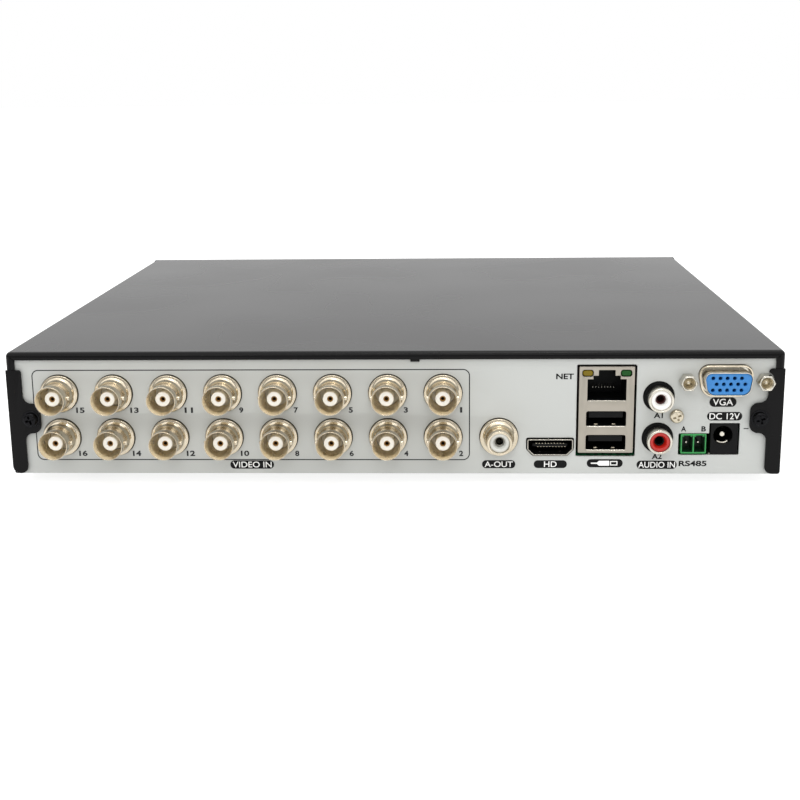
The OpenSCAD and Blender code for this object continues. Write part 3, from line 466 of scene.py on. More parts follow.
def rod(points, radius, steps=4):
    """Round wire along points, with closed ends."""
    curve = bpy.data.curves.new("rod", "CURVE")
    curve.dimensions = "3D"
    curve.bevel_depth = radius
    curve.bevel_resolution = steps
    curve.use_fill_caps = True
    trace(curve, points)
    work = work_of(curve)
    bmesh.ops.remove_doubles(work, verts=work.verts, dist=weld)
    return mesh_of(work)


def changed(mesh, kind, **settings):
    """Mesh after one modifier."""
    holder = bpy.data.objects.new("changed", mesh)
    bpy.context.scene.collection.objects.link(holder)
    modifier = holder.modifiers.new("step", kind)
    for name, value in settings.items():
        setattr(modifier, name, value)
    made = bpy.data.meshes.new_from_object(holder.evaluated_get(bpy.context.evaluated_depsgraph_get()))
    bpy.data.objects.remove(holder)
    return made


def without(mesh, cutter):
    """Mesh with the cutter's shape taken away."""
    tool = bpy.data.objects.new("cutter", cutter)
    bpy.context.scene.collection.objects.link(tool)
    made = changed(mesh, "BOOLEAN", object=tool, operation="DIFFERENCE", solver="EXACT")
    bpy.data.objects.remove(tool)
    return made


def moved(mesh, x=0.0, y=0.0, z=0.0, turn=Matrix.Identity(4)):
    """Copy of a mesh, turned and then moved."""
    copy = mesh.copy()
    copy.transform(Matrix.Translation((x, y, z)) @ turn)
    return copy


def lettering(text, x, y, height, width=None, low=0.01, high=0.04, weight=0.0):
    """Raised print, centred at x, y: capitals of the given height, and as wide as asked."""
    curve = bpy.data.curves.new("text", "FONT")
    curve.body = text
    curve.size = 10
    curve.extrude = (high - low) / 2
    curve.offset = weight * 7 / height    # capitals are about 7 high before they are scaled
    curve.resolution_u = 6
    work = work_of(curve)
    xs, ys = [v.co.x for v in work.verts], [v.co.y for v in work.verts]
    middle = Vector(((min(xs) + max(xs)) / 2, (min(ys) + max(ys)) / 2, 0))
    tall = height / (max(ys) - min(ys))
    wide = width / (max(xs) - min(xs)) if width else tall
    work.transform(Matrix.Translation((x, y, (low + high) / 2)) @ Matrix.Diagonal((wide, tall, 1, 1))
                   @ Matrix.Translation(-middle))
    bmesh.ops.remove_doubles(work, verts=work.verts, dist=weld)
    return mesh_of(work)


sharp_angle = math.radians(38)
inner_sharp_angle = math.radians(30)


def placed(parts, x, y):
    """Copies of (mesh, material name) parts, moved to x, y."""
    return [(moved(mesh, x, y), finish) for mesh, finish in parts]


def piece(name, parts, slot, plan=REAR, replaces=(), body="case"):
    """Named piece in one plan, riding on a body. A part is a mesh in the slot's material,
    or (mesh, material name)."""
    work = bmesh.new()
    finishes = []
    for part in parts:
        mesh, finish = part if isinstance(part, tuple) else (part, slot)
        if finish not in finishes:
            finishes.append(finish)
        first = len(work.faces)
        work.from_mesh(mesh)
        work.faces.ensure_lookup_table()
        for face in work.faces[first:]:
            face.material_index = finishes.index(finish)
    work.transform(Matrix.Scale(MM, 4) @ plan)
    made = bpy.data.meshes.new(name)
    work.to_mesh(made)
    work.free()
    made.set_sharp_from_angle(angle=sharp_angle)
    for finish in finishes:
        made.materials.append(M[finish])
    holder = bpy.data.objects.new(name, made)
    bpy.context.scene.collection.objects.link(holder)
    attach(holder, body)
    if replaces:
        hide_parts(*replaces)


def solids(node, plan=REAR):
    """Boxes of a CAD node's separate solids in a plan: lists of ((x0, x1), (y0, y1), (z0, z1))."""
    work = bmesh.new()
    work.from_mesh(frame["nodes"][node].data)
    bmesh.ops.remove_doubles(work, verts=work.verts, dist=1e-6)
    back = plan.inverted()
    left = set(work.verts)
    boxes = []
    while left:
        group, front = [], [left.pop()]
        while front:
            v = front.pop()
            group.append(back @ (v.co / MM))
            for edge in v.link_edges:
                other = edge.other_vert(v)
                if other in left:
                    left.remove(other)
                    front.append(other)
        boxes.append(tuple((min(p[i] for p in group), max(p[i] for p in group)) for i in range(3)))
    work.free()
    return sorted(boxes, key=lambda b: (round(b[0][0], 1), round(b[1][0], 1)))


def around(middle, half):
    """Side that reaches equally far from its middle both ways."""
    return (middle - half, middle + half)


def mid(side):
    """Middle of a (low, high) side."""
    return (side[0] + side[1]) / 2


def node_box(node, plan=REAR):
    """Box of a whole CAD node in a plan."""
    boxes = solids(node, plan)
    return tuple((min(b[i][0] for b in boxes), max(b[i][1] for b in boxes)) for i in range(3))


# ---- Screws --------------------------------------------------------------------------------

def cross_screw(radius, height):
    """Pan head with a cross recess, its seat at z = 0, on a short shank."""
    shank_r, shank_low, sink = 1.4, -2.5, -0.05
    dome = rounded([(radius, 0), (radius, height, height * 0.85), (0, height)], 8)
    head = lathe([(0, shank_low), (shank_r, shank_low), (shank_r, sink), (radius, sink)] + dome[1:])
    reach, half, floor = radius * 0.62, 0.36, height * 0.3
    for turn in (0, math.pi / 2):
        arm = brick((-reach, reach), (-half, half), (floor, height + 1), 0.0)
        head = without(head, moved(arm, turn=Matrix.Rotation(turn, 4, "Z")))
    return head


screw_head_r = 2.4
screw_head_h = 1.7
screw_hole_r = 1.6


def screw_centres():
    """Places of the cover's screws: the ears' in REAR, and by sign of the side, the sides' as (y, up)."""
    ears, sides = [], {1: [], -1: []}
    for x, y, z in solids("cover_screws"):
        if z[1] > 0:
            ears.append((mid(x), mid(y)))
        else:
            sides[1 if mid(x) < case_w / 2 else -1].append((mid(z) + panel_high.y, mid(y)))
    return ears, sides


ear_screws, side_screws = screw_centres()


def cover_screws():
    """Screws of the ears with their washers, and the screws of the sides."""
    head = cross_screw(screw_head_r, screw_head_h)
    washer_r, low, high = 3.05, cover_rear - 0.05, cover_rear + 0.28
    washer = lathe(rounded([(screw_hole_r, low), (washer_r, low), (washer_r, high, 0.15),
                            (screw_hole_r, high)]))
    turn = Matrix.Rotation(0.35, 4, "Z")
    parts = [moved(head, x, y, cover_rear, turn) for x, y in ear_screws]
    parts += [moved(washer, x, y) for x, y in ear_screws]
    piece("ear_screws", parts, "screw_black", replaces=["cover_screws"])
    for side, plan, sign in SIDES:
        heads = [moved(head, sign * y, up) for y, up in side_screws[sign]]
        piece("side_screws_" + side, heads, "screw_black", plan)


# ---- Case ----------------------------------------------------------------------------------

sheet_t = 1.0
bend_r = 1.7                   # outer radius of the cover's folds
flange_low = case_h - 2.7      # lower edge of the strip along the top
strip_w = 3.0                  # strip down each upper corner
strip_low = case_h - 7.0
flange_out = 0.95
ear_w = 5.1
ear_top = case_h - 6.0
ear_low = 0.3
ear_relief_r = 3.2             # room for the jackscrew beside the right ear
lug_mid = 19.4
lug_half = 5.1
lug_reach = 10.7
lug_r = 3.2
lug_fillet = 2.6
tab_x = (135, 138)


def ear(outer_r):
    """Outline of the left ear with its lug."""
    low, high = lug_mid - lug_half, lug_mid + lug_half
    return rounded([(0, ear_low, outer_r), (ear_w, ear_low, 2.4), (ear_w, low, lug_fillet),
                    (lug_reach, low, lug_r), (lug_reach, high, lug_r), (ear_w, high, lug_fillet),
                    (ear_w, ear_top, 1.0), (0, ear_top)], 8)


def mirrored(outline):
    """Outline on the other side of the case's middle."""
    return [(case_w - x, y) for x, y in outline]


def vent_slots(sign):
    """Slots of one side of the cover, in its plan."""
    width, height, pitch, count, up, groups = 2.2, 18, 6, 9, 24, (-55, 62)
    places = [sign * (group + (i - (count - 1) / 2) * pitch) for group in groups for i in range(count)]
    return [rect(around(x, width / 2), around(up, height / 2), width / 2 - 0.01, 6)
            for x in places]


def folded_shell():
    """Cover's top with its folds to the sides and the rear."""
    work = bmesh.new()
    bmesh.ops.create_cube(work, size=1)
    sides = ((0, case_w), (ear_low, case_h), (-case_d, flange_out))
    for v in work.verts:
        v.co = [a + (b - a) * (c + 0.5) for (a, b), c in zip(sides, v.co)]

    def folded(edge):
        middle = (edge.verts[0].co + edge.verts[1].co) / 2
        top, rear = middle.y > case_h - 0.01, middle.z > flange_out - 0.01
        side = min(middle.x, case_w - middle.x) < 0.01
        return (top and side) or (top and rear) or (rear and side)

    edges = [e for e in work.edges if folded(e)]
    bmesh.ops.bevel(work, geom=edges, offset=bend_r, segments=8, profile=0.5, affect="EDGES")
    gone = []
    for face in work.faces:
        face.normal_update()
        n, c = face.normal, face.calc_center_median()
        if n.y < -0.99 or n.z < -0.99 or abs(n.x) > 0.999 or n.z > 0.999:
            gone.append(face)
    bmesh.ops.delete(work, geom=gone, context="FACES")
    mesh = mesh_of(work, True)
    return changed(mesh, "SOLIDIFY", thickness=sheet_t - 0.02, offset=-1, use_even_offset=True)


def top_cover():
    """Folded sheet with the strips and ears of its rear edge, and its two slotted sides."""
    slope_top = case_h - bend_r
    corner = [(bend_r, slope_top - 0.15), (bend_r, strip_low), (strip_w, strip_low), (strip_w, flange_low)]
    slope = [(strip_w + 0.1, flange_low), (case_w - strip_w - 0.1, flange_low),
             (case_w - bend_r - 0.1, slope_top), (bend_r + 0.1, slope_top)]
    parts = [folded_shell()]
    parts += [plate([strip], 0.05, flange_out, 0.08) for strip in (slope, corner, mirrored(corner))]
    parts.append(brick(tab_x, (flange_low - 0.8, flange_low + 0.3), (0.05, 0.85), 0.15))
    jack_x = max(mid(box[0]) for box in jack_boxes)
    relief_tool = plate([circle(jack_x, vga_y, ear_relief_r)], -1, 3)
    for outline, (x, y) in zip((ear(4.5), mirrored(ear(0.8)[::-1])), ear_screws):
        sheet = plate([outline, circle(x, y, screw_hole_r)], cover_rear - 0.9, cover_rear, 0.18, 3)
        parts.append(without(sheet, relief_tool) if x > case_w / 2 else sheet)
    piece("top_cover_sheet", parts, "cover_black", replaces=["top_cover"])
    for side, plan, sign in SIDES:
        ends = sorted((sign * (panel_high.y - case_d), sign * (panel_high.y + flange_out - bend_r)))
        holes = [circle(sign * y, up, screw_hole_r, 24) for y, up in side_screws[sign]]
        wall = plate([rect(ends, (ear_low, slope_top)), *vent_slots(sign), *holes], -sheet_t, 0)
        piece("cover_side_" + side, [wall], "cover_black", plan)


def rubber_feet():
    """Four turned feet with a shallow hollow underneath."""
    hollow_r, hollow_h = 2.2, 0.8
    for number, (x, y, z) in enumerate(solids("rubber_feet", TABLE), 1):
        r, h = (x[1] - x[0]) / 2, z[1]
        foot = lathe(rounded([(0, hollow_h), (hollow_r, hollow_h), (hollow_r, 0, 0.3), (r - 0.7, 0, 0.7),
                              (r, h, 0.2), (0, h)], 5), mid(x), mid(y), 48)
        piece(f"rubber_foot_{number}", [foot], "rubber_black", TABLE, ["rubber_feet"] if number == 1 else ())


# ---- Rear panel ----------------------------------------------------------------------------

pairs = [node_box(f"bnc_pair_{i}") for i in range(1, 9)]
bell_r = (pairs[0][0][1] - pairs[0][0][0]) / 2
bnc_columns = [mid(pair[0]) for pair in pairs]
bnc_rows = [pairs[0][1][0] + bell_r, pairs[0][1][1] - bell_r]
bnc_root, bnc_mouth = pairs[0][2]
audio_out_box = node_box("audio_out_shell")
audio_out_at = (mid(audio_out_box[0]), mid(audio_out_box[1]))
audio_ins = [(mid(b[0]), mid(b[1])) for b in solids("audio_in_barrels")]
hdmi_box = node_box("hdmi_shell")
stack_box = node_box("network_usb_shield")
vga_box = node_box("vga_insert")
jack_boxes = solids("jackscrews")
vga_x = (mid(jack_boxes[0][0]) + mid(jack_boxes[1][0])) / 2
vga_y = mid(jack_boxes[0][1])
terminal_box = node_box("terminal_block")
power_box = node_box("dc_jack")
panel_screw_box = node_box("panel_screw")
panel_screw_at = (mid(panel_screw_box[0]), mid(panel_screw_box[1]))
hdmi_x = mid(hdmi_box[0])
hdmi_top = 12.0
hdmi_bend = 8.6
hdmi_low = 6.6
power_x = mid(power_box[0]) - 0.4
power_y = 13.25


def hdmi_outline(grow=0.0, r=0.5):
    """Screen socket's outline, with its lower corners cut off."""
    half, low_half = 7.5 + grow, 5.5 + grow * 0.6
    top, bend, low = hdmi_top + grow, hdmi_bend - grow * 0.4, hdmi_low - grow
    left = [(hdmi_x - half, top, r), (hdmi_x - half, bend, r * 1.6), (hdmi_x - low_half, low, r * 1.6)]
    return rounded(left + [(2 * hdmi_x - x, y, corner_r) for x, y, corner_r in left[::-1]])


def d_outline(w, h, r):
    """D-shaped outline with its wide side up and its sides leaning in by ten degrees."""
    lean = h * math.tan(math.radians(10))
    top, low = w / 2, w / 2 - lean
    return rounded([(vga_x - top, vga_y + h / 2, r), (vga_x - low, vga_y - h / 2, r * 1.35),
                    (vga_x + low, vga_y - h / 2, r * 1.35), (vga_x + top, vga_y + h / 2, r)], 8)


def rear_panel():
    """Plate with an opening for every socket and screw, and its two folded edges."""
    edge = panel_high.x
    x0, x1 = case_w / 2 - edge, case_w / 2 + edge
    top = panel_high.z - foot_h
    holes = [circle(x, y, bell_r + 0.2, 56) for x in bnc_columns for y in bnc_rows]
    holes.append(circle(*audio_out_at, bell_r + 0.2, 56))
    holes += [circle(x, y, 5.2, 48) for x, y in audio_ins]
    holes.append(hdmi_outline(0.45, 0.7))
    (stack_x0, stack_x1), (stack_y0, stack_y1) = stack_box[:2]
    holes.append(rect((stack_x0 - 0.7, stack_x1 + 0.8), (stack_y0 - 1.4, stack_y1 + 0.6), 0.4))
    # one stepped opening for the terminal and the power socket
    left, step = terminal_box[0][0] - 0.8, power_box[0][0] - 0.5
    right, low, high, step_y = step + 10, 6.5, 17.4, terminal_box[1][1] + 0.2
    holes.append(rounded([(left, low, 0.4), (right, low, 0.4), (right, high, 0.4), (step, high, 0.4),
                          (step, step_y, 0.2), (left, step_y, 0.4)]))
    holes.append(d_outline(19.0, 10.9, 3.4))
    screws = [(mid(b[0]), vga_y) for b in jack_boxes] + [panel_screw_at]
    holes += [circle(x, y, screw_hole_r, 24) for x, y in screws + ear_screws]
    parts = [plate([rect((x0, x1), (0, top), 0.3), *holes], -sheet_t, 0, 0.1)]
    parts += [brick((x0 + 3, x1 - 3), y, (-9, -0.9), 0.1) for y in ((1.02, 2.0), (top - 1, top - 0.02))]
    piece("rear_panel_plate", parts, "panel_grey", replaces=["rear_panel"])


def lozenge(x, y, w, h):
    """Black field with round ends, centred at x, y."""
    return plate([rect(around(x, w / 2), around(y, h / 2), h / 2 - 0.05, 8)], -0.02, 0.02)


def caption(text, x, y, field, words):
    """White words on a black lozenge, centred at x, y; both sizes are (width, height)."""
    front = lettering(text, x, y, words[1], words[0], 0.015, 0.035, 0.02)
    return [(lozenge(x, y, *field), "print_black"), (front, "print_white")]


def plug_mark(x, y):
    """Plain picture of a cable's plug, white on a black lozenge."""
    cable, cord, body, end = x - 4.6, x - 2.6, x - 1.9, x + 1.5
    thin, thick = 0.22, 0.85
    lower = [(cable, y - thin), (cord, y - thin), (body, y - thick), (end, y - thick)]
    plug = lower + [(px, 2 * y - py) for px, py in lower[::-1]]
    tip = [rect((x + 1.8, x + 4.2), around(y, 0.75)), rect((x + 2.1, x + 3.9), around(y, 0.45))]
    return [(lozenge(x, y, 11.9, 2.84), "print_black"), (plate([plug], 0.015, 0.035), "print_white"),
            (plate(tip, 0.015, 0.035), "print_white")]


def panel_print():
    """Printed frame, numbers and plain port names."""
    frame_x, frame_y, line_w = (bnc_columns[0] - 9.02, bnc_columns[-1] + 8.93), (4.65, 35.9), 0.35
    inner = [(a + line_w, b - line_w) for a, b in (frame_x, frame_y)]
    line = plate([rect(frame_x, frame_y, 2.3, 8), rect(*inner, 2.3 - line_w, 8)], -0.02, 0.02)
    parts = [(line, "print_grey")]
    for column, x in enumerate(bnc_columns):
        for row, y in enumerate((7.0, 22.0)):
            number = 2 * (len(bnc_columns) - column) - row
            shift = 6.0 if number < 10 else 6.7
            width = 2.85 if number > 9 else 0.75 if number == 1 else 1.4
            parts.append((lettering(str(number), x + shift, y, 1.9, width, -0.01, 0.02, 0.1), "print_grey"))
    # words, middle, and the sizes of the field and of the words
    for row in (("VIDEO IN", 81.3, 3.08, (14.8, 2.9), (13.2, 2.05)),
                ("A-OUT", audio_out_at[0], 3.25, (11.1, 2.8), (9.4, 1.95)),
                ("HD", hdmi_x + 0.2, 3.28, (11.0, 2.7), (4.2, 1.95)),
                ("AUDIO IN", audio_ins[0][0] + 0.05, 3.1, (13.3, 2.9), (12.1, 2.05)),
                ("VGA", vga_x - 0.5, 24.55, (8.8, 3.2), (6.6, 2.2)),
                ("DC 12V", mid(power_box[0]) - 0.2, 19.75, (11.5, 2.9), (9.9, 2.1))):
        parts += caption(*row)
    parts += plug_mark(mid(stack_box[0]), 3.62)
    # words, middle, height and width
    for text, x, y, height, width in (
            ("RS485", mid(terminal_box[0]) + 0.05, 3.55, 1.9, 9.2), ("A", 225.1, 15.45, 1.8, 1.7),
            ("B", 231.65, 15.45, 1.8, 1.5), ("A1", 216.65, 20.05, 1.85, 3.0), ("A2", 216.6, 6.0, 1.85, 3.3),
            ("NET", 185.75, 33.3, 1.9, 5.8)):
        parts.append((lettering(text, x, y, height, width, -0.01, 0.02, 0.08), "print_black"))
    parts.append((brick((244.7, 246.3), (15.4, 15.7), (-0.02, 0.02), 0), "print_black"))
    piece("panel_print", parts, "panel_grey")


# ---- Turned sockets ------------------------------------------------------------------------

bnc_bore_r = 4.05
bore_low = 0.45
neck_r = 4.35
neck_low = 4.3
barrel_r = 4.6
barrel_end = 8.3
ring_r = 4.8


def bell(neck, neck_z):
    """Front of the trumpet-shaped skirt, from the panel's hole to a neck."""
    shoulder = (bell_r - 0.45, 1.22)
    rim = rounded([(neck, bnc_root), (bell_r, bnc_root), (bell_r, 0.75, 0.1), (bell_r, 1.1, 0.3),
                   (*shoulder, 0.1)])
    return rim[1:] + cove(shoulder, (neck, neck_z), 14)


def bnc_shell():
    """Bell, neck, front ring with a thin lip, open bore and the two bayonet studs."""
    lip_r, flare_low = ring_r - 0.24, bnc_mouth - 2.2
    outside = [(bnc_bore_r, bnc_root)] + bell(neck_r, neck_low)
    outside += rounded([(neck_r, neck_low), (neck_r - 0.16, neck_low + 0.04), (neck_r - 0.16, 4.56),
                        (barrel_r, 4.62, 0.08), (barrel_r, barrel_end, 0.08), (ring_r, barrel_end + 0.2, 0.1),
                        (ring_r, bnc_mouth, 0.2), (ring_r - 0.22, bnc_mouth, 0.08)], 4)
    outside += [(lip_r, bnc_mouth - 0.03), (bnc_bore_r + 0.25, flare_low), (bnc_bore_r + 0.05, 3)]
    # The bore's lining takes a lighter copy of the shell's nickel: painted light inside the bore.
    lining = rounded([(lip_r, bnc_mouth - 0.01), (bnc_bore_r + 0.08, flare_low, 1.5),
                      (bnc_bore_r, bore_low)], 6)
    lining += [(bnc_bore_r + 0.3, bore_low), (bnc_bore_r + 0.3, flare_low)]
    parts = [(lathe(outside), "nickel_warm"), (lathe(lining), "nickel_bore_painted_light")]
    stud_r, stud_h, stud_z = 0.75, 1.45, 7.3
    stud = lathe(rounded([(0, 0), (stud_r, 0), (stud_r, stud_h, 0.3), (0, stud_h)], 4), steps=24)
    for turn in (-1, 1):
        tilt = Matrix.Rotation(turn * math.pi / 2, 4, "Y")
        parts.append((moved(stud, turn * (bnc_bore_r + 0.02), 0, stud_z, tilt), "nickel_warm"))
    return parts


def bnc_connectors():
    """Columns of two sockets: shells, insulators and contact tubes."""
    shell = bnc_shell()
    face, tip = node_box("bnc_insulators")[2][1], node_box("bnc_contacts")[2][1]
    hole_r, tube_r = 1.0, 0.97
    core = lathe(rounded([(hole_r, bnc_root), (4.0, bnc_root), (4.0, 0.5, 0.1), (2.45, 0.5, 0.2),
                          (2.45, face, 0.25), (hole_r, face, 0.12)], 4))
    tube = lathe(rounded([(0, 2), (0.47, 2), (0.5, tip - 0.25), (0.7, tip, 0.05), (tube_r, tip, 0.04),
                          (tube_r, bnc_root), (0, bnc_root)], 3), steps=32)
    for i, x in enumerate(bnc_columns, 1):
        shells = [part for y in bnc_rows for part in placed(shell, x, y)]
        piece(f"bnc_shells_{i}", shells, "nickel_warm", replaces=[f"bnc_pair_{i}"])
        for name, mesh, slot, node in (("bnc_cores", core, "insulator_white", "bnc_insulators"),
                                       ("bnc_sockets", tube, "contact_gold", "bnc_contacts")):
            piece(f"{name}_{i}", [moved(mesh, x, y) for y in bnc_rows], slot, replaces=[node])


rca_r = 4.15
rca_bore_r = 3.3


def rca_core(end, finish, hole):
    """Moulded insulator with a flared hole; the spring and the disc at the hole's bottom take a dark finish,
    painted shade down the hole.
    """
    low, outer_r, hole_r, mouth_r = -2.9, rca_bore_r - 0.02, 1.7, 2.3
    ring = lathe(rounded([(hole_r, low), (outer_r, low), (outer_r, end, 0.2), (mouth_r, end, 0.3),
                          (hole_r, end - 1.3, 0.3)], 4))
    inside_r, tube_r = 1.25, 1.66
    spring = lathe(rounded([(inside_r, 0), (tube_r, 0), (tube_r, end - 2.0, 0.1),
                            (inside_r, end - 2.2, 0.1)], 3), steps=32)
    back = lathe([(0, -2.8), (1.68, -2.8), (1.68, -1.5), (0, -1.5)], steps=32)
    return [(ring, finish), (spring, hole), (back, hole)]


def audio_out():
    """Output socket with its bell."""
    end = audio_out_box[2][1]
    profile = [(rca_bore_r, bnc_root)] + bell(rca_r, 4.0)
    profile += rounded([(rca_r, 4.2), (rca_r, end, 0.35), (rca_bore_r, end, 0.25), (rca_bore_r, 3)], 5)[1:]
    piece("audio_out_barrel", [lathe(profile, *audio_out_at)], "nickel_warm", replaces=["audio_out_shell"])
    # The spring and the bottom of the hole are in a dark metal that is painted shade down the hole.
    core = rca_core(end - 0.9, "insulator_grey", "painted_hole_shade_metal")
    piece("audio_out_core", placed(core, *audio_out_at), "insulator_grey", replaces=["audio_out_insulator"])


def audio_inputs():
    """Barrels of the two inputs, their coloured insulators and the black collars behind them."""
    end = node_box("audio_in_barrels")[2][1]
    root_r, step_r = 3.75, rca_r - 0.15
    barrel = lathe(rounded([(rca_bore_r, -3), (root_r, -3), (root_r, 0.4), (step_r, 0.45),
                            (step_r, end - 1.6), (rca_r, end - 1.5), (rca_r, end, 0.45),
                            (rca_bore_r, end, 0.3)], 5))
    barrels = [moved(barrel, x, y) for x, y in audio_ins]
    piece("audio_in_tubes", barrels, "nickel_bright", replaces=["audio_in_barrels"])
    # The hole finishes are dark colours for the spring and the hole's bottom: painted shade down each hole.
    for place, colour, hole in zip(audio_ins, ("red", "white"), ("housing_black", "deep_red")):
        slot = "ring_" + colour
        piece(f"audio_in_{colour}_core", placed(rca_core(end - 0.55, slot, hole), *place), slot,
              replaces=[f"audio_in_{colour}_ring"])
    collar_low, inner_r, outer_r, groove_pitch = -1.15, rca_r + 0.03, 4.95, 0.27
    steps = [(inner_r, collar_low), (5.0, collar_low), (5.0, -0.25)]
    for k in range(3):
        r = outer_r - groove_pitch * k
        steps += [(r, -0.15), (r - 0.1, -0.05), (r - 0.18, -0.16)]
    steps.append((inner_r, -0.16))
    piece("audio_in_collars", [lathe(steps, x, y) for x, y in audio_ins], "housing_black")


def panel_screw():
    """Screw that holds the audio inputs' block to the panel."""
    head = moved(cross_screw(2.3, 1.6), *panel_screw_at, 0, Matrix.Rotation(0.4, 4, "Z"))
    piece("panel_screw_head", [head], "screw_steel", replaces=["panel_screw"])


# ---- Screen, network and USB ---------------------------------------------------------------

def hdmi_socket():
    """Folded shell with its springs, a black liner just inside it that is painted shade in the socket, and
    the tongue with its two rows of contacts.
    """
    low, front = hdmi_box[2]
    shell = plate([hdmi_outline(), hdmi_outline(-0.22, 0.3)], low, front, 0.06, 3)
    back = plate([hdmi_outline(-0.1)], low - 0.1, low + 0.4)
    springs = [rod([(x, hdmi_low + 0.35, -5), (x, hdmi_low + 0.9, -1.4), (x, hdmi_low + 0.75, -0.8)], 0.2)
               for x in around(hdmi_x, 3.3)]
    # Black liner just inside the metal shell: painted shade in the socket.
    shade_liner = plate([hdmi_outline(-0.2, 0.3), hdmi_outline(-0.35, 0.3)], low + 0.3, front - 0.35)
    parts = [(shell, "nickel_bright"), (back, "housing_black")]
    parts += [(spring, "nickel_bright") for spring in springs] + [(shade_liner, "housing_black")]
    piece("hdmi_housing", parts, "shield_nickel", replaces=["hdmi_shell"])
    tongue = [brick(around(hdmi_x, 5.8), (9.3, 10.3), (-9.9, -0.6), 0.15),
              brick(around(hdmi_x, 5.2), (7.2, 11.9), (-9.95, -8.6), 0.1)]
    pairs_across, along = 10, (-8, -0.62)
    for k in range(pairs_across):
        x = hdmi_x + k - (pairs_across - 1) / 2
        tongue.append((brick(around(x, 0.2), (10.2, 10.42), along, 0.05), "screw_steel"))
        tongue.append((brick((x + 0.3, x + 0.7), (9.1, 9.32), along, 0.03), "screw_steel"))
    piece("hdmi_contacts", tongue, "housing_black", replaces=["hdmi_tongue"])


net_x = (193.15, 205.85)
net_y = (25.14, 32.42)
latch_wide = (195.05, 203.85)
latch_narrow = (196.75, 202.15)
latch_y = (33.6, 35.5)
usb_x = (192.9, 206.02)
usb_rows = ((8.3, 13.5), (16.4, 21.6))
usb_spring_x = (196.25, 202.1)


def net_opening():
    """Opening of the network socket with the steps of its latch."""
    (x0, x1), (low, high), (step, top) = net_x, net_y, latch_y
    (a, d), (b, c) = latch_wide, latch_narrow
    return rounded([(x0, low, 0.15), (x1, low, 0.15), (x1, high, 0.15), (d, high), (d, step), (c, step),
                    (c, top, 0.2), (b, top, 0.2), (b, step), (a, step), (a, high), (x0, high, 0.15)], 3)


def network_usb_stack():
    """Shield of the network socket and the two USB sockets, its springs and contacts, and the link lamps."""
    (x0, x1), (y0, y1), (z0, z1) = stack_box
    lamps = ("link_led_yellow", "link_led_green")
    lamp_boxes = [node_box(name) for name in lamps]
    gap, wall = 0.22, 0.4
    windows = [rect((x[0] - gap, x[1] + gap), (y[0] - gap, y[1] + gap), 0.9, 6) for x, y, z in lamp_boxes]
    slots = [rect(usb_x, row, 0.7) for row in usb_rows]
    parts = [plate([rect((x0, x1), (y0, y1), 0.35), net_opening(), *slots, *windows], z1 - 0.45, z1, 0.12, 3)]
    inner_x, inner_y, deep = (x0 + 0.1, x1 - 0.1), (y0 + 0.1, y1 - 0.1), (z0, z1 - 0.2)
    parts += [brick(x, inner_y, deep, 0.08) for x in ((x0, x0 + wall), (x1 - wall, x1))]
    parts += [brick(inner_x, y, deep, 0.08) for y in ((y0, y0 + wall), (y1 - wall, y1))]
    for low, high in usb_rows:
        for x in usb_spring_x:
            tab = brick(around(x, 0.6), (low + 0.05, low + 0.7), (-2.2, -0.8), 0.2)
            parts.append((tab, "nickel_warm"))
        # The lips are in a brighter nickel than the shield they belong to: a painted highlight along each
        # opening's lower edge.
        lip = rod([(usb_x[0] + 0.3, low, z1 - 0.08), (usb_x[1] - 0.3, low, z1 - 0.08)], 0.2)
        parts.append((lip, "nickel_bright"))
    # The network opening's lip likewise takes the brighter nickel as a painted highlight.
    lip = rod([(net_x[0] + 0.2, net_y[0], z1 - 0.12), (net_x[1] - 0.2, net_y[0], z1 - 0.12)], 0.14)
    parts.append((lip, "nickel_bright"))
    piece("network_usb_shell", parts, "shield_nickel", replaces=["network_usb_shield"])
    contacts, wire_pitch, strip_pitch = [], 0.97, 2.3
    for k in range(8):
        x = net_x[0] + 1.9 + k * wire_pitch
        wire = rod([(x + 0.3, 30.4, -2.6), (x, 29.5, -1.4), (x, 29.3, -1.5)], 0.12, 3)
        contacts.append((wire, "nickel_bright"))
    for low, high in usb_rows:
        for k in range(4):
            x = mid(usb_x) + (k - 1.5) * strip_pitch
            strip = brick(around(x, 0.5), (high - 2.5, high - 2.36), (-9, -3), 0.04)
            contacts.append((strip, "screw_steel"))
    piece("network_usb_contacts", contacts, "contact_gold")
    for (x, y, z), node, slot in zip(lamp_boxes, lamps, ("led_yellow", "led_green")):
        piece(node + "_lens", [plate([rect(x, y, 0.8, 8)], z[0], z1 - 0.05, 0.45, 5)], slot, replaces=[node])


def vga_socket():
    """D-shaped collar and shell on their foot, and the blue face with its fifteen holes."""
    collar = plate([d_outline(18.7, 10.6, 3.2), d_outline(17.4, 9.3, 2.7)], -0.9, 1.4, 0.5, 4)
    shell_end = node_box("vga_shell")[2][1]
    shell = plate([d_outline(16.2, 7.7, 2.2), d_outline(15.7, 7.2, 1.95)], -1.8, shell_end, 0.1, 3)
    foot = plate([rect(around(vga_x, 15.4), around(vga_y, 6.25), 1.2)], -1.85, -1.05, 0.1)
    piece("vga_frame", [(collar, "nickel_warm"), shell, foot], "nickel_bright", replaces=["vga_shell"])
    pitch, row_pitch, hole_r = 2.29, 1.98, 0.6
    holes = []
    for row in (-1, 0, 1):
        row_x = vga_x - 0.5 + (pitch / 2 if row == 0 else 0)    # the middle row stands half a pitch aside
        holes += [circle(row_x + i * pitch, vga_y + row * row_pitch, hole_r, 24) for i in range(-2, 3)]
    low, end = vga_box[2]
    face = plate([d_outline(15.5, 7.0, 1.9), *holes], end - 4, end, 0.18, 3)
    core = plate([d_outline(15.4, 6.9, 1.9)], -3, end - 4)
    block = brick(around(vga_x, 8.5), vga_box[1], (low, -1.9), 0.2)
    piece("vga_face", [face, (core, "housing_black"), block], "vga_blue", replaces=["vga_insert"])


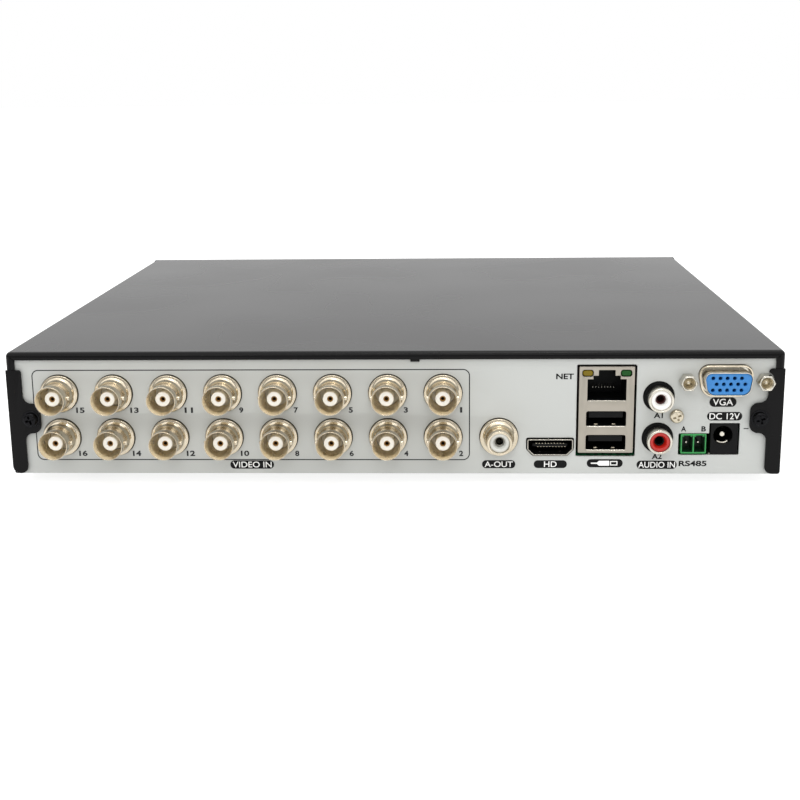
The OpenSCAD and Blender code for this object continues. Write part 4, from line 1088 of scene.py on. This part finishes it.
def hex_screws():
    """Six-sided jackscrews with a sunk end."""
    corner_r, hole_r, parts = 2.8, 1.95, []
    for x, end in ((mid(box[0]), box[2][1]) for box in jack_boxes):
        corners = [(px, py, 0.4) for px, py in circle(x, vga_y, corner_r, 6)]
        parts.append(plate([rounded(corners, 4), circle(x, vga_y, hole_r, 36)], 0.02, end, 0.35, 3))
        cone = [(0, 0.05), (0, end - 1.5), (0.5, end - 1.6), (1.1, end - 2.2), (1.25, end - 0.9),
                (1.9, end - 0.2), (hole_r + 0.01, end - 0.35), (hole_r + 0.01, 0.05)]
        parts.append((lathe(cone, x, vga_y, 36), "screw_steel"))
    piece("jackscrew_heads", parts, "nickel_bright", replaces=["jackscrews"])


# ---- Power and control ---------------------------------------------------------------------

def control_terminal():
    """Block with two cells, their linings and backs in a darker green that is painted shade in the cells, and
    the two pins.
    """
    (x0, x1), (z0, z1), y1 = terminal_box[0], terminal_box[2], terminal_box[1][1]
    y0, wall = 7.1, 0.38
    middle, ceiling = mid((x0, x1)), y1 - wall
    cells = [(x0 + wall, middle - wall / 2), (middle + wall / 2, x1 - wall)]
    holes = [rect(cell, (y0 + wall, ceiling), 0.15) for cell in cells]
    parts = [plate([rect((x0, x1), (y0, y1), 0.2), *holes], -7, z1, 0.1, 3),
             brick((x0, x1), (6.3, y1), (z0, -6.9), 0.15)]
    for a, b in cells:
        outer, inner = (rect((a + grow, b - grow), (y0 + wall + grow, ceiling - grow), 0.15)
                        for grow in (-0.05, 0.1))
        # The cells' linings and backs are a darker green: painted shade inside the cells.
        parts.append((plate([outer, inner], -6.9, z1 - 0.5), "terminal_green_painted_shade"))
        parts.append((plate([outer], -6.95, -6.5), "terminal_green_painted_shade"))
        parts += [brick(around(x, 0.35), (ceiling - 0.7, ceiling + 0.05), (-6.5, -0.4), 0.06)
                  for x in (a + 0.35, b - 0.35)]
    piece("control_terminal_block", parts, "terminal_green", replaces=["terminal_block"])
    pin_y = (mid((y0, y1)) - 0.4, mid((y0, y1)) + 0.24)
    pins = [brick(around(x, 0.32), pin_y, (-7, -2.2), 0.14) for x in (226.5, 230.4)]
    piece("control_terminal_pins", pins, "nickel_bright")


def power_socket():
    """Socket's body with its rim, the pin and the curved spring, and the ledge under it."""
    (x0, x1), (y0, y1), (z0, z1) = power_box
    r, rim_r, pin_r, pin_end, back_z = 3.15, 3.65, 1.0, -1.5, z0 + 3
    body = plate([rect((x0, x1), (y0 + 0.5, y1), 0.4), circle(power_x, power_y, r, 56)], back_z, z1, 0.2, 3)
    back = brick((x0, x1), (y0 + 0.5, y1), (z0, back_z + 0.05), 0.2)
    rim = rounded([(r - 0.02, -0.7), (rim_r, -0.5), (rim_r, z1 + 0.02, 0.08), (r - 0.02, z1 - 0.35, 0.1)])
    rim = lathe(rim, power_x, power_y, 56)
    piece("dc_jack_body", [body, back, rim], "housing_black", replaces=["dc_jack"])
    pin = rounded([(0, back_z), (pin_r, back_z), (pin_r, pin_end, 0.95), (0, pin_end)], 8)
    arc_r = r - 0.25
    arc = [(power_x + arc_r * math.sin(a), power_y - arc_r * math.cos(a), -1.6)
           for a in (math.radians(-38 + 76 * k / 10) for k in range(11))]
    piece("dc_jack_contacts", [lathe(pin, power_x, power_y, 32), rod(arc, 0.4)], "nickel_bright")
    ledge = brick((x0 - 0.3, x1 + 0.3), (6.2, 6.95), (-12, -1.2), 0.1)
    piece("dc_jack_ledge", [ledge], "shield_nickel")


# ---- Front ---------------------------------------------------------------------------------

keys = {name: node_box(f"{name}_key", FRONT)
        for name in ("power", "menu", "up", "down", "left", "right", "ok")}
key_rim = 0.9
key_gap = 0.25
window_box = node_box("front_window", FRONT)
indicator_boxes = solids("indicator_leds", FRONT)
ir_box = node_box("ir_receiver", FRONT)


def key_outline(box, grow=0.0):
    """Cap's outline: round, or a capsule along its longer side."""
    inset = key_rim - grow
    x, y = ((side[0] + inset, side[1] - inset) for side in box[:2])
    return rect(x, y, min(x[1] - x[0], y[1] - y[0]) / 2 - 0.1, 10)


def front_bezel():
    """Hollow frame lofted through rounded loops, the face with its openings, and the window's rail."""
    half, back, front_z = case_w / 2, -bezel_d, -0.02
    # each loop's z, its distances from the sides, the bottom and the top, and its corners' radius
    rows = ((back, 0, 0, 0, 0.8), (-9, 0, 0, 0, 0.9), (-6, 0, 0, 1.0, 1.0), (-3, 0, 0, 2.0, 1.2),
            (-1.5, 1.5, 0.3, 2.5, 1.4), (-0.4, 2.6, 1.1, 2.9, 1.6), (0, 3.4, 1.9, 3.7, 1.8),
            (front_z, 3.9, 2.4, 4.2, 1.6), (-2.2, 5.4, 3.4, 5.4, 1.2), (-4, 2.4, 2.2, 4.2, 1.0),
            (back, 2.2, 2.2, 2.2, 0.8))
    work = bmesh.new()
    loops = [[work.verts.new((x, y, z))
              for x, y in rect((-half + side, half - side), (low, case_h - high), r, 6)]
             for z, side, low, high, r in rows]
    for a, b in zip(loops, loops[1:] + loops[:1]):
        for k in range(len(a)):
            n = (k + 1) % len(a)
            work.faces.new((a[k], a[n], b[n], b[k]))
    holes = [key_outline(box, key_gap) for box in keys.values()]
    holes += [circle(mid(b[0]), mid(b[1]), 1.7, 32) for b in indicator_boxes]
    holes.append(circle(mid(ir_box[0]), mid(ir_box[1]), 2.7, 40))
    face = plate([rect((-half + 3.45, half - 3.45), (1.95, case_h - 3.75), 1.7, 6), *holes], -2.2, 0, 0.12, 3)
    wx, wy = window_box[:2]
    rail = plate([rect((wx[0] - grow, wx[1] + grow), (wy[0] - grow, wy[1] + grow), r, 8)
                  for grow, r in ((0.9, 3.6), (0.1, 3.0))], -0.2, 0, 0.08, 3)
    piece("front_bezel_shell", [mesh_of(work), face, rail], "bezel_plastic", FRONT, ["front_bezel"])


def front_window():
    """Smoked pane, just behind the face."""
    pane = plate([rect(*window_box[:2], 3, 8)], -0.9, -0.02, 0.25, 4)
    piece("front_window_pane", [pane], "window_smoked", FRONT, ["front_window"])


def arrow(turn):
    """Small raised triangle that points up, or as it is turned."""
    c, s = math.cos(turn), math.sin(turn)
    outline = [(px * c - py * s, px * s + py * c, 0.25) for px, py in ((0.0, 1.1), (-1.1, -0.7), (1.1, -0.7))]
    return plate([rounded(outline, 4)], -0.05, 0.04)


def front_keys():
    """Seven caps with a rim behind the face, each with its raised mark."""
    turns = {"up": 0, "down": math.pi, "left": math.pi / 2, "right": -math.pi / 2}
    for name, box in keys.items():
        x, y, (low, top) = mid(box[0]), mid(box[1]), box[2]
        slot = "key_red" if name == "power" else "key_grey"
        parts = [plate([key_outline(box)], low + 0.8, top, 0.45, 4),
                 plate([key_outline(box, key_rim)], low, low + 0.85, 0.1)]
        if name in turns:
            marks = [moved(arrow(turns[name]), x, y, top)]
        elif name == "power":
            arc = [(x + 1.9 * math.sin(a), y + 1.9 * math.cos(a), top)
                   for a in (math.radians(35 + 290 * k / 24) for k in range(25))]
            marks = [rod(arc, 0.2, 2), rod([(x, y + 0.4, top), (x, y + 2.5, top)], 0.2, 2)]
        elif name == "ok":
            low_z, high_z = top - 0.05, top + 0.04
            marks = [lathe(rounded([(1.2, low_z), (1.5, low_z), (1.5, high_z), (1.2, high_z)]), x, y, 40)]
        else:
            marks = [brick(around(x, 1.8), (y + d - 0.16, y + d + 0.16), (top - 0.1, top + 0.03), 0)
                     for d in (-0.9, 0, 0.9)]
        parts += [(mark, "print_white") for mark in marks]
        piece(f"{name}_key_cap", parts, slot, FRONT, [f"{name}_key"], f"{name}_key")


# ---- Assembly ------------------------------------------------------------------------------

def inner_nodes():
    """CAD nodes that stay get their slot's material."""
    slots = {row["node"]: row["material_slot"] for row in frame["record"]["subparts"]}
    for name, node in frame["nodes"].items():
        node.data.materials.clear()
        node.data.materials.append(M[slots[name]])
        node.data.set_sharp_from_angle(angle=inner_sharp_angle)


def make_floor():
    """White floor, a hair below the feet so that no two faces lie in one plane."""
    floor = bpy.data.meshes.new("floor")
    reach, z = 6.0, -0.00005
    corners = [(-reach, -reach, z), (reach, -reach, z), (reach, reach, z), (-reach, reach, z)]
    floor.from_pydata(corners, [], [(0, 1, 2, 3)])
    floor.materials.append(M["floor_white"])
    holder = bpy.data.objects.new("floor", floor)
    bpy.context.scene.collection.objects.link(holder)


inner_nodes()
cover_screws()
top_cover()
rubber_feet()
rear_panel()
panel_print()
bnc_connectors()
audio_out()
audio_inputs()
panel_screw()
hdmi_socket()
network_usb_stack()
vga_socket()
hex_screws()
control_terminal()
power_socket()
front_bezel()
front_window()
front_keys()
make_floor()
